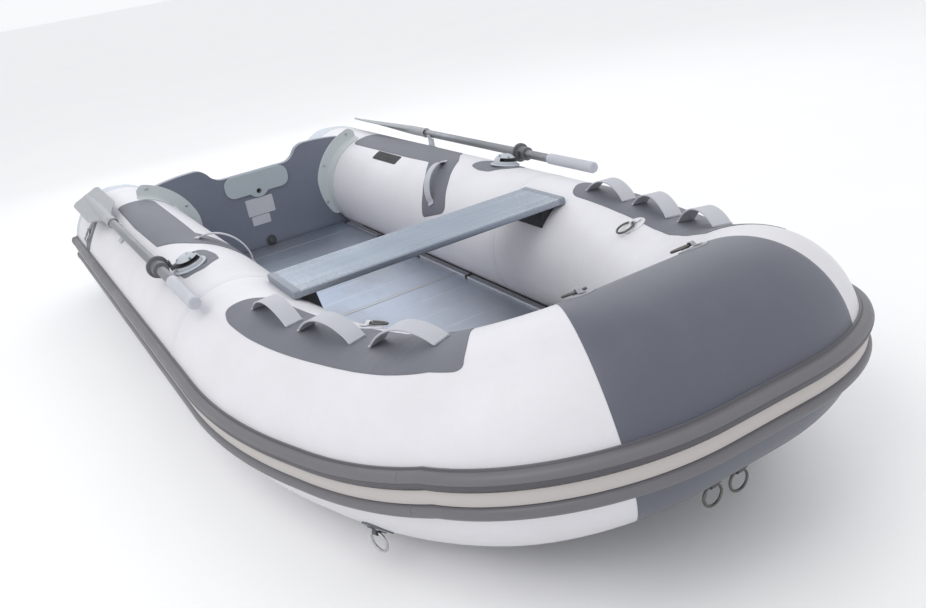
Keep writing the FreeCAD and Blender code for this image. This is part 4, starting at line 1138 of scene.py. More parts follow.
@dataclass
class Bottom:
    """The cloth bottom between the tubes and the inflated keel."""

    gap: float = 0.001
    thick: float = 0.0024
    drop: float = 0.009
    tape: tuple[Flat, ...] = ((-118, 0.0002), (-117.5, 0.0012), (-104, 0.0012), (-92, 0.0010),
                              (-91.5, 0.0002))

    def build(self) -> None:
        """Builds the bottom, its edge tapes and the keel."""
        sheet, rows = Skin(), []
        marks = HULL.stations(HULL.travel_at(0.004, Side.STARBOARD), HULL.length / 2 - 0.140)
        for travel in marks:
            edge = HULL.point(travel, -110, self.gap)
            keel_z = max(edge.z - self.drop, self.thick + 0.0016)
            top = []
            for step in range(-20, 21):
                share = abs(step) / 20
                sag = keel_z + (edge.z - keel_z) * (share ** 1.35)
                top.append(Vector((edge.x, edge.y * -step / 20, sag)))
            low = [point - Vector((0, 0, self.thick)) for point in top[::-1]]
            rows.append(top + low)
        sheet.solid(rows)
        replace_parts(sheet.piece("bottom_cloth", "hull", BOTTOM_CLOTH, sharp=60), "hull_bottom")
        for side in Side:
            places = marks if side is Side.STARBOARD else [HULL.length - mark for mark in marks]
            tape = Skin()
            tape.net([[HULL.point(travel, angle, high) for angle, high in self.tape]
                      for travel in places])
            tape.piece(f"bottom_tape_{side.label}", "hull", BOTTOM_CLOTH, sharp=60)
        self.keel()

    def keel(self) -> None:
        """Builds the inflated keel, with gathered ends."""
        keel = Skin()
        top_z = 0.046
        rows = []
        for step in range(61):
            share = step / 60
            x = HULL.transom + 0.060 + 1.90 * share
            end = min(1.0, share / 0.05, (1 - share) / 0.11)
            half = 0.022 + 0.040 * math.sin(end * math.pi / 2)
            edge = HULL.point(HULL.travel_at(min(1.90 * share + 0.06, 1.96), Side.STARBOARD), -110)
            low = max(edge.z - self.drop, 0.004) + 0.003
            high = low + (top_z - low) * (0.5 + 0.5 * end)
            middle, tall = (low + high) / 2, (high - low) / 2
            gather = 0.0008 * (1 - end) * math.sin(step * 2.3)
            rows.append([Vector((x, (half + gather) * math.cos(t), middle + tall * math.sin(t)))
                         for t in turns(32)])
        keel.solid(rows)
        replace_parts(keel.piece("keel_cloth", "hull", BOTTOM_CLOTH, sharp=60), "keel_tube")


# --- cloth patches ---------------------------------------------------------------------

@dataclass
class Patches:
    """Cloth patches glued on the tubes, each with a thin raised edge and round corners."""

    thick: float = 0.0013
    columns: int = 26
    step: float = 0.006
    sunk: float = -0.0003

    def lay(self, side: Side, corners: Sequence[tuple[float, float, float]], name: str,
            finish: Finish, thick: float | None = None) -> bpy.types.Object:
        """Lays one patch on the tube.

        Args:
            side: Which side of the boat.
            corners: (distance from the transom, angle, corner radius) round the patch.
            name: The piece's name.
            finish: Its cloth.
            thick: Its height above the tube.

        Returns:
            The patch.
        """
        high = thick or self.thick
        arc = math.pi * HULL.radius / 180
        outline = rounded([(x, angle * arc, radius) for x, angle, radius in corners], 10)
        lowest, highest = min(p[0] for p in outline), max(p[0] for p in outline)
        marks = {lowest + 0.0002, highest - 0.0002}
        marks |= {p[0] for p in outline if lowest + 0.0004 < p[0] < highest - 0.0004}
        count = math.ceil((highest - lowest) / self.step)
        marks |= {lowest + (highest - lowest) * i / count for i in range(1, count)}
        rows = []
        for mark in sorted(marks):
            low, top = self.cross(outline, mark)
            inset = min(0.0007, (top - low) * 0.2)
            spots = [(low, self.sunk), (low + inset * 0.3, high * 0.8), (low + inset, high)]
            inner = [(low + inset + (top - low - 2 * inset) * i / self.columns, high)
                     for i in range(1, self.columns)]
            spots += inner + [(top - inset, high), (top - inset * 0.3, high * 0.8),
                              (top, self.sunk)]
            rows.append((mark, spots))
        first, last = rows[0], rows[-1]
        rows.insert(0, (lowest + self.sunk, [(value, self.sunk) for value, _ in first[1]]))
        rows.append((highest - self.sunk, [(value, self.sunk) for value, _ in last[1]]))
        skin = Skin()
        skin.net([[HULL.point(HULL.travel_at(mark, side), value / arc,
                              level + HULL.pucker(HULL.travel_at(mark, side), value / arc))
                   for value, level in spots] for mark, spots in rows])
        return skin.piece(name, "hull", finish, sharp=60)

    def cross(self, outline: Sequence[Flat], mark: float) -> tuple[float, float]:
        """Returns the lowest and highest places where an outline crosses a mark."""
        found = []
        for (x0, y0), (x1, y1) in zip(outline, list(outline[1:]) + [outline[0]]):
            if (x0 - mark) * (x1 - mark) <= 0 and abs(x1 - x0) > 1e-9:
                found.append(y0 + (y1 - y0) * (mark - x0) / (x1 - x0))
        return min(found), max(found)

    def build(self) -> None:
        """Lays every patch of both sides."""
        for side in Side:
            wing = [(0.066, 73, 0.03), (0.072, 112, 0.035), (0.60, 110.5, 0.3), (0.772, 109, 0.03),
                    (0.838, 127, 0.1), (0.886, 146, 0.1), (0.918, 168, 0.02), (1.078, 156, 0.03),
                    (1.012, 127, 0.12), (0.925, 96, 0.1), (0.858, 84, 0.1), (0.80, 71, 0.02),
                    (0.45, 70, 0.4)]
            piece = self.lay(side, wing, f"wing_patch_{side.label}", PATCH_CLOTH)
            if side is Side.STARBOARD:
                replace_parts(piece, "side_patches")
            leaf = [(1.022, 82, 0.05), (1.020, 98, 0.05), (1.10, 103, 0.15), (1.160, 101, 0.02),
                    (1.225, 84, 0.035), (1.216, 67, 0.02), (1.09, 66, 0.15)]
            self.lay(side, leaf, f"oarlock_patch_{side.label}", PATCH_CLOTH)
            long = [(1.588, 70, 0.06), (1.596, 86, 0.09), (1.650, 104, 0.12), (1.92, 106.5, 0.4),
                    (2.30, 108.5, 0.3), (2.508, 104, 0.010),
                    (2.547, 85, 0.2), (2.556, 62, 0.018), (2.40, 62.5, 0.4), (2.20, 64, 0.4),
                    (1.80, 64, 0.4), (1.66, 65, 0.2)]
            piece = self.lay(side, long, f"handle_patch_{side.label}", PATCH_CLOTH)
            if side is Side.STARBOARD:
                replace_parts(piece, "handle_patches")
        self.plates()

    def plates(self) -> None:
        """Lays the blank plate on the port tube."""
        plate = [(0.350, 112, 0.008), (0.350, 124, 0.008), (0.560, 124, 0.008), (0.560, 112, 0.008)]
        piece = self.lay(Side.PORT, plate, "blank_plate_tube", BLACK_PLATE, 0.0018)
        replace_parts(piece, "blank_labels")


# --- rigid fittings --------------------------------------------------------------------

def softened(node: str, name: str, body: str, finish: Finish, bevel: float = 0.001,
             extra: Sequence[Finish] = (),
             shade_of: Callable[[Vector], int] | None = None) -> bpy.types.Object:
    """Copies a CAD solid's surface, joins it up and rounds its edges.

    Args:
        node: The CAD node it stands for.
        name: The new piece's name.
        body: The body it rides on.
        finish: Its finish.
        bevel: Width of the rounding.
        extra: More finishes for its other shades.
        shade_of: Picks a face's shade from its middle.

    Returns:
        The new piece.
    """
    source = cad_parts[node]
    work = bmesh.new()
    work.from_mesh(source.data)
    bmesh.ops.remove_doubles(work, verts=work.verts, dist=1e-5)
    bmesh.ops.dissolve_limit(work, angle_limit=math.radians(0.8), verts=work.verts,
                             edges=work.edges)
    skin = Skin()
    skin.points = [vert.co.copy() for vert in work.verts]
    for face in work.faces:
        corners = [vert.index for vert in face.verts]
        axis = max(range(3), key=lambda i: abs(face.normal[i]))
        keep = [i for i in range(3) if i != axis]
        shade = shade_of(face.calc_center_median()) if shade_of else 0
        skin.face(corners, [(vert.co[keep[0]], vert.co[keep[1]]) for vert in face.verts], shade)
    work.free()
    piece = skin.piece(name, body, finish, *extra, bevel=bevel)
    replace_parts(piece, node)
    return piece


def screw_head(skin: Skin, place: Matrix, radius: float) -> None:
    """Adds a pan-head screw with a six-sided recess to a skin."""
    high = radius * 0.52
    skin.lathe(place, [(radius, -0.0008), (radius, high * 0.25), (radius * 0.9, high * 0.66),
                       (radius * 0.68, high * 0.93), (radius * 0.46, high)], 28)
    skin.lathe(place, [(radius * 0.46, high), (radius * 0.42, high * 0.94),
                       (radius * 0.38, high * 0.3), (0.0, high * 0.25)], 6)


@dataclass
class Transom:
    """The lacquered board with its pads, tube holders, screws, drain and blank plates."""

    holder_reach: float = 0.052
    holder_collar: float = 0.052
    holder_thick: float = 0.005
    drain_z: float = 0.080
    across: Matrix = field(default_factory=lambda: Matrix(
        ((0, 0, 1, HULL.transom), (1, 0, 0, 0), (0, 1, 0, 0), (0, 0, 0, 1))))

    def build(self) -> None:
        """Builds the board and everything fixed to it."""
        softened("transom_board", "transom_plywood", "hull", BOARD_LACQUER, 0.0028)
        softened("motor_pad_inner", "clamp_pad_inner", "hull", PAD_PLASTIC, 0.0016)
        self.hole_ring()
        self.outer_pad()
        self.holders()
        self.drain()
        self.plates()

    def hole_ring(self) -> None:
        """Builds the raised ring round the safety hole."""
        skin = Skin()
        place = self.across @ Matrix.Translation((0, 0.314, 0.0063))
        skin.lathe(place, [(0.0072, -0.004), (0.0072, 0.0012), (0.0082, 0.0020), (0.0102, 0.0018),
                           (0.0112, 0.0004), (0.0114, -0.001)], 40)
        skin.piece("safety_hole_ring", "hull", DARK_PLASTIC)

    def outer_pad(self) -> None:
        """Builds the ribbed pad on the aft face."""
        skin = Skin()
        place = self.across @ Matrix.Translation((0, 0.325, -0.0303))
        skin.prism(place, rounded_box((0.0, 0.0), (0.260, 0.150), 0.014, 8), -0.0042, 0.0)
        for index in range(13):
            middle = -0.066 + 0.011 * index
            long = 0.244 if abs(middle) < 0.062 else 0.232
            rib = rounded_box((0.0, middle), (long, 0.0056), 0.0026, 5)
            skin.prism(place, rib, -0.0060, -0.0040)
        piece = skin.piece("clamp_pad_outer", "hull", PALE_PLASTIC, bevel=0.0006)
        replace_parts(piece, "motor_pad_outer")

    def holders(self) -> None:
        """Builds the flanged bands that join the board to the tubes, with their screws."""
        screws = Skin()
        for side in Side:
            skin = Skin()
            rows = []
            for step in range(57):
                angle = 99.0 + 110.0 * step / 56
                end = min(1.0, step / 3, (56 - step) / 3)
                narrow = 1.0 - 0.62 * max(0.0, (angle - 165.0) / 44.0)
                wide = self.holder_reach * narrow * (0.55 + 0.45 * math.sin(end * math.pi / 2))
                deep = self.holder_collar * (0.6 + 0.4 * math.sin(end * math.pi / 2))
                low, thick = 0.2162, self.holder_thick
                section = [(0.0005, low), (0.0005, low + wide - 0.001), (0.0012, low + wide),
                           (thick - 0.0012, low + wide), (thick, low + wide - 0.0012),
                           (thick, low + 0.009), (thick + 0.0016, low + 0.0055),
                           (thick + 0.006, low + 0.0034), (deep, low + 0.0032),
                           (deep + 0.0035, low + 0.0022), (deep + 0.0045, low + 0.0004),
                           (deep + 0.0045, low), (0.02, low)]
                turn = math.radians(angle)
                rows.append([Vector((HULL.transom + x,
                                     side.value * (HULL.half_spacing + r * math.cos(turn)),
                                     HULL.radius + r * math.sin(turn))) for x, r in section])
            skin.solid(rows)
            piece = skin.piece(f"transom_holder_{side.label}", "hull", HOLDER_PLASTIC, sharp=28)
            if side is Side.STARBOARD:
                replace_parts(piece, "transom_holders")
            for angle, out in ((108, 0.036), (150, 0.036), (190, 0.026)):
                turn = math.radians(angle)
                reach = HULL.radius + out
                spot = (HULL.transom + 0.0056,
                        side.value * (HULL.half_spacing + reach * math.cos(turn)),
                        HULL.radius + reach * math.sin(turn))
                screw_head(screws, facing(spot, Vector((1, 0, 0))), 0.0062)
        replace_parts(screws.piece("holder_screws", "hull", STEEL_WIRE), "transom_screws")

    def drain(self) -> None:
        """Builds the drain's sleeve and rim, and its lobed plug."""
        place = self.across @ Matrix.Translation((0, self.drain_z, 0))
        body = Skin()
        body.lathe(place, [(0.0095, -0.0345), (0.0150, -0.0345), (0.0152, -0.030),
                           (0.0152, -0.001), (0.0240, 0.0004), (0.0240, 0.0030),
                           (0.0228, 0.0042), (0.0120, 0.0046), (0.0100, 0.0040),
                           (0.0095, -0.0345)], 48)
        for turn in (45, 135, 225, 315):
            spin = Matrix.Rotation(math.radians(turn), 4, "Z")
            screw_head(body, place @ spin @ Matrix.Translation((0.0188, 0, 0.0040)), 0.0026)
        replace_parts(body.piece("drain_fitting", "hull", DARK_PLASTIC, sharp=30), "drain_body")
        plug = Skin()
        outline = []
        for turn in turns(60):
            reach = 0.0126 + 0.0013 * math.cos(5 * turn)
            outline.append((reach * math.cos(turn), reach * math.sin(turn)))
        plug.prism(place, outline, 0.0049, 0.0136)
        plug.lathe(place, [(0.0, -0.022), (0.0080, -0.022), (0.0088, -0.019), (0.0088, 0.005),
                           (0.0060, 0.0052)], 36)
        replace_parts(plug.piece("drain_knob", "plug", DARK_PLASTIC, bevel=0.0012), "drain_plug")

    def plates(self) -> None:
        """Builds the two blank plates on the board's inner face."""
        skin = Skin()
        for y, z, wide, tall in ((-0.009, 0.2455, 0.126, 0.077), (-0.020, 0.1835, 0.084, 0.041)):
            plate = rounded_box((y, z), (wide, tall), 0.006, 6)
            skin.prism(self.across, plate, -0.0003, 0.0013)
        skin.piece("blank_plates_transom", "hull", PLATE_PLASTIC, bevel=0.0005)


@dataclass
class Deck:
    """Ribbed aluminium panels, their joints, the tapered bow panel and the stringers."""

    top: float = 0.061
    thick: float = 0.014
    half: float = 0.358
    aft: float = 0.014
    panel: float = 0.520
    gap: float = 0.004
    bow_long: float = 0.560
    rib_pitch: float = 0.013
    rib_high: float = 0.0005
    plank: float = 0.130

    def relief(self, x: float, start: float, end: float) -> float:
        """Returns how far the top lies below the panel's height at a distance."""
        edge = min(x - start, end - x)
        if edge < 0.0008:
            return 0.0012 - edge
        phase = ((x - start) % self.rib_pitch) / self.rib_pitch
        rib = 0.0 if phase < 0.62 else self.rib_high * math.sin(math.pi * (phase - 0.62) / 0.38)
        seam = abs((x - start + self.plank / 2) % self.plank - self.plank / 2)
        groove = 0.0014 * max(0.0, 1 - seam / 0.0016) if edge > 0.02 else 0.0
        return max(rib, groove)

    def panel_piece(self, start: float, end: float, half_at: Callable[[float], float], name: str,
                    finish: Finish, node: str) -> None:
        """Builds one panel from its ribbed top and a flat underside."""
        skin = Skin()
        count = math.ceil((end - start) / 0.0013)
        rows = []
        for step in range(count + 1):
            x = start + (end - start) * step / count
            half = max(half_at(x), 0.004)
            top = self.top - self.relief(x, start, end)
            low = self.top - self.thick
            across = [-half, -half + 0.0012, -half * 0.5, 0.0, half * 0.5, half - 0.0012, half]
            row = [Vector((HULL.transom + x, y, top - (0.0012 if abs(y) == half else 0.0)))
                   for y in across]
            row += [Vector((HULL.transom + x, half, low)), Vector((HULL.transom + x, -half, low))]
            rows.append(row)
        skin.solid(rows)
        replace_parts(skin.piece(name, "hull", finish, sharp=24), node)

    def bow_half(self, x: float) -> float:
        """Returns the bow panel's half width at a distance."""
        marks = ((1.586, 0.340), (1.900, 0.322), (2.080, 0.250), (2.106, 0.120), (2.146, 0.0))
        for (x0, y0), (x1, y1) in zip(marks, marks[1:]):
            if x <= x1:
                share = (x - x0) / (x1 - x0)
                return y0 + (y1 - y0) * (share if y1 > 0.2 else share ** 1.4)
        return 0.0

    def build(self) -> None:
        """Builds the whole deck."""
        step = self.panel + self.gap
        for index, node in enumerate(("floor_aft", "floor_mid", "floor_fore")):
            start = self.aft + index * step
            self.panel_piece(start, start + self.panel, lambda x: self.half, f"{node}_panel",
                             DECK_METAL, node)
        start = self.aft + 3 * step
        self.panel_piece(start, start + self.bow_long, self.bow_half, "floor_bow_panel",
                         BOW_METAL, "floor_bow")
        self.joints()
        self.stringers()

    def joints(self) -> None:
        """Builds the joining profiles between the panels."""
        skin = Skin()
        for index in (1, 2, 3):
            x = HULL.transom + self.aft + index * (self.panel + self.gap) - self.gap / 2
            top = self.top + 0.0003
            section = [(-0.0098, top), (-0.0094, top + 0.0009), (-0.0080, top + 0.0014),
                       (-0.0030, top + 0.0014), (-0.0022, top + 0.0007), (0.0022, top + 0.0007),
                       (0.0030, top + 0.0014), (0.0080, top + 0.0014), (0.0094, top + 0.0009),
                       (0.0098, top), (0.0016, top), (0.0016, top - 0.0135),
                       (-0.0016, top - 0.0135), (-0.0016, top)]
            rows = [[Vector((x + dx, y, z)) for dx, z in section]
                    for y in (-0.344, -0.17, 0.0, 0.17, 0.344)]
            skin.solid(rows)
        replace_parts(skin.piece("floor_joint_profiles", "hull", RAIL_METAL, sharp=25),
                    "floor_joints")

    def rail(self, skin: Skin, side: Side, section: Sequence[Flat],
             marks: Sequence[float]) -> None:
        """Adds a section of (y, z) pairs, carried along the boat through some distances."""
        skin.solid([[Vector((HULL.transom + x, side.value * y, z)) for y, z in section]
                    for x in marks])

    def stringers(self) -> None:
        """Builds both side rails, their sleeves, clips and end pieces."""
        dark = Skin()
        for side in Side:
            skin = Skin()
            section = [(0.3465, 0.0615), (0.3465, 0.0690), (0.3475, 0.0700), (0.3560, 0.0700),
                       (0.3566, 0.0672), (0.3600, 0.0672), (0.3606, 0.0700), (0.3716, 0.0700),
                       (0.3728, 0.0688), (0.3728, 0.0422), (0.3716, 0.0411), (0.3475, 0.0411),
                       (0.3465, 0.0421), (0.3465, 0.0460), (0.3610, 0.0460), (0.3610, 0.0615)]
            self.rail(skin, side, section, (0.066, 0.45, 0.834, 1.218, 1.602))
            piece = skin.piece(f"stringer_rail_{side.label}", "hull", RAIL_METAL, sharp=25)
            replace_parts(piece, f"stringer_{side.label}")
            for x, long in ((0.760, 0.044), (1.140, 0.014), (0.400, 0.014)):
                cover = [(0.3450, 0.0600), (0.3450, 0.0704), (0.3464, 0.0716), (0.3722, 0.0716),
                         (0.3738, 0.0700), (0.3738, 0.0600)]
                self.rail(dark, side, cover, (x - long / 2, x - long / 2 + 0.001,
                                              x + long / 2 - 0.001, x + long / 2))
            for start, long in ((1.6025, 0.042), (0.036, 0.029)):
                fore = long > 0.03
                rows = []
                for share in (0.0, 0.1, 0.5, 0.9, 1.0):
                    shrink = 0.6 * share if fore else 0.6 * (1 - share)
                    top = 0.0702 - 0.008 * shrink
                    x = HULL.transom + start + long * share
                    rows.append([Vector((x, side.value * y, z)) for y, z in (
                        (0.3462, 0.0560), (0.3462, top - 0.001), (0.3474, top),
                        (0.3720, top), (0.3732, top - 0.001), (0.3732, 0.0560))])
                dark.solid(rows)
        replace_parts(dark.piece("stringer_sleeves", "hull", BLACK_RUBBER, bevel=0.0008),
                    "stringer_ends")


@dataclass
class Bench:
    """The extruded bench, its end caps and the rubber brackets it drops into."""

    middle: float = 1.568
    wide: float = 0.209
    top: float = 0.432
    half: float = 0.446
    thick: float = 0.022
    cap: float = 0.016

    def section(self, grow: float = 0.0) -> list[Flat]:
        """Returns the extrusion's section as (x, z) pairs, with its grip grooves."""
        half, top, low = self.wide / 2 + grow, self.top + grow, self.top - self.thick - grow
        corner = 0.006
        outline = []
        for centre_x, centre_z, first in ((half - corner, top - corner, 0),
                                          (-half + corner, top - corner, 90),
                                          (-half + corner, low + corner, 180),
                                          (half - corner, low + corner, 270)):
            for step in range(7):
                turn = math.radians(first + 15 * step)
                outline.append((centre_x + corner * math.cos(turn),
                                centre_z + corner * math.sin(turn)))
            if first == 0 and not grow:
                for x in (0.088, 0.078, 0.068, 0.0, -0.068, -0.078, -0.088):
                    if x:
                        outline += [(x + 0.0016, top), (x + 0.0010, top - 0.0011),
                                    (x - 0.0010, top - 0.0011), (x - 0.0016, top)]
                    else:
                        outline += [(flat, top) for flat in (0.062, 0.03, 0.0, -0.03, -0.062)]
        return outline

    def across(self, section: Sequence[Flat], marks: Sequence[float]) -> list[list[Vector]]:
        """Returns a section's rows at several places across the boat."""
        x0 = HULL.transom + self.middle
        return [[Vector((x0 + x, y, z)) for x, z in section] for y in marks]

    def build(self) -> None:
        """Builds the bench, its caps and its brackets."""
        board = Skin()
        inner = self.half - self.cap
        board.solid(self.across(self.section(), (-inner, -0.22, 0.0, 0.22, inner)))
        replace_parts(board.piece("bench_plank", "bench", BENCH_METAL, sharp=28), "bench_board")
        caps = Skin()
        for sign in (-1, 1):
            marks = [sign * value for value in (inner - 0.004, inner - 0.0036, self.half - 0.002,
                                                self.half)]
            rows = [self.across(self.section(grow), (mark,))[0]
                    for mark, grow in zip(marks, (0.0002, 0.0009, 0.0009, 0.00001))]
            caps.solid(rows)
        caps.piece("bench_caps", "bench", CAP_PLASTIC, sharp=40)
        softened("bench_brackets", "bench_saddles", "hull", BLACK_RUBBER, 0.0022)


@dataclass
class Handles:
    """Strap handles: six grab handles on the tube tops and two carry handles inboard."""

    spans: tuple[Flat, ...] = ((1.692, 1.884), (1.948, 2.140), (2.226, 2.458))
    angle: float = 88.5
    wide: float = 0.048
    thick: float = 0.0036
    high: float = 0.044
    foot: float = 0.007

    @property
    def base(self) -> float:
        """Height of a flat foot's middle above the tube."""
        return 0.0013 + self.thick / 2 + 0.0002

    def arch(self, spots: Sequence[tuple[float, float, float]], side: Side, wide: float) -> Skin:
        """Sweeps a strap along (distance, angle, height) spots on one side."""
        points = [HULL.point(HULL.travel_at(x, side), angle, high) for x, angle, high in spots]
        normals = [HULL.place(HULL.travel_at(x, side), angle).col[2].xyz for x, angle, _ in spots]
        skin = Skin()
        skin.sweep(path_frames(points, normals), strap_section(wide, self.thick))
        return skin

    def grab_spots(self, aft: float, fore: float) -> list[tuple[float, float, float]]:
        """Returns the path of one grab handle, with flat feet and a full arch."""
        base = self.base
        spots = [(aft - self.foot, self.angle, base), (aft - 0.001, self.angle, base)]
        for step in range(1, 28):
            share = step / 28
            rise = (1 - (2 * share - 1) ** 2) ** 0.86
            spots.append((aft + (fore - aft) * share, self.angle,
                          base + (self.high - base) * rise))
        return spots + [(fore + 0.001, self.angle, base), (fore + self.foot, self.angle, base)]

    def carry_spots(self) -> list[tuple[float, float, float]]:
        """Returns the path of a carry handle, slanting down the tube's inner side."""
        spots = []
        for step in range(-2, 31):
            share = step / 28
            inside = min(max(share, 0.0), 1.0)
            rise = (1 - (2 * inside - 1) ** 2) ** 0.8
            spots.append((0.866 + 0.098 * share, 106 + 44 * share, self.base + 0.030 * rise))
        return spots

    def build(self) -> None:
        """Builds every handle."""
        for side in Side:
            for index, (aft, fore) in enumerate(self.spans):
                skin = self.arch(self.grab_spots(aft, fore), side, self.wide)
                piece = skin.piece(f"grab_handle_{index + 1}_{side.label}", "hull", HANDLE_STRAP)
                if index == 0:
                    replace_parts(piece, f"grab_handles_{side.label}")
            skin = self.arch(self.carry_spots(), side, 0.030)
            piece = skin.piece(f"carry_handle_{side.label}", "hull", HANDLE_STRAP)
            if side is Side.STARBOARD:
                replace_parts(piece, "carry_handles")


# --- oarlocks and oars -----------------------------------------------------------------

@dataclass
class Oarlocks:
    """Domed bases, swivels and collars, with the gaskets and screws that hold the bases."""

    forward: float = 1.140
    angle: float = 78.0
    radius: float = 0.042
    high: float = 0.040

    def place(self, side: Side) -> Matrix:
        """Returns a base's frame: z along its pin, y outboard along the tube."""
        turn, s = math.radians(self.angle), side.value
        normal = Vector((0, s * math.cos(turn), math.sin(turn)))
        across = Vector((0, s * math.sin(turn), -math.cos(turn)))
        spot = Vector((HULL.transom + self.forward, s * HULL.half_spacing, HULL.radius))
        turned = Matrix((Vector((s, 0, 0)), across, normal)).transposed().to_4x4()
        return Matrix.Translation(spot + normal * HULL.radius) @ turned

    def slot_painted_shade(self, spot: Vector) -> int:
        """Returns 1 for a face inside the swivel's slot, which takes the dark plastic as painted
        shade, and 0 for one on the dome.
        """
        side = Side.PORT if spot.y > 0 else Side.STARBOARD
        local = self.place(side).inverted() @ spot
        if not 0.0142 < local.z < 0.0278:
            return 0
        rise = (local.z - 0.0028) / (self.high - 0.0028)
        outer = self.radius * math.sqrt(1 - rise * rise)
        return int(math.hypot(local.x, local.y) < outer - 0.0022)

    def build(self) -> None:
        """Builds both oarlocks."""
        # The faces inside the dome's slot are the dome's own plastic; the dark plastic on them is
        # painted shade in the recess.
        softened("oarlock_bases", "oarlock_domes", "hull", PALE_PLASTIC, 0.0018,
                 (DARK_PLASTIC,), self.slot_painted_shade)
        for side in Side:
            label, place, s = side.label, self.place(side), side.value
            softened(f"lock_swivel_{label}", f"oarlock_swivel_{label}", f"swivel_{label}",
                     DARK_PLASTIC, 0.0012)
            softened(f"oar_collar_{label}", f"oarlock_collar_{label}", f"collar_{label}",
                     COLLAR_PLASTIC, 0.0014)
            gasket = Skin()
            gasket.lathe(place, [(0.030, 0.0005), (0.0520, 0.0002), (0.0528, 0.0026),
                                 (0.0510, 0.0042), (0.0440, 0.0050), (0.0424, 0.0036),
                                 (0.030, 0.0034)], 56)
            gasket.piece(f"oarlock_gasket_{label}", "hull", PALE_PLASTIC, sharp=30)
            bung = Skin()
            spot = Vector((s * 0.010, -0.012, self.high - 0.0028))
            tilt = facing((0, 0, 0), Vector((s * 0.23, -0.27, 1.0)))
            bung.lathe(place @ Matrix.Translation(spot) @ tilt,
                       [(0.0086, -0.002), (0.0084, 0.0007), (0.0070, 0.0012), (0.0060, 0.0004),
                        (0.0056, -0.0006), (0.0, -0.0007)], 32)
            bung.piece(f"oarlock_bung_{label}", "hull", BLACK_RUBBER)
            screws = Skin()
            for x, y, down in ((-0.021, -0.012, 0.0068), (-0.004, 0.025, 0.0075),
                               (0.004, -0.0265, 0.0083)):
                tilt = facing((0, 0, 0), Vector((s * x * 26, y * 26, 1.0)))
                spot = Matrix.Translation((s * x, y, self.high - down))
                screw_head(screws, place @ spot @ tilt, 0.0050)
            screws.piece(f"oarlock_screws_{label}", "hull", DARK_WIRE)


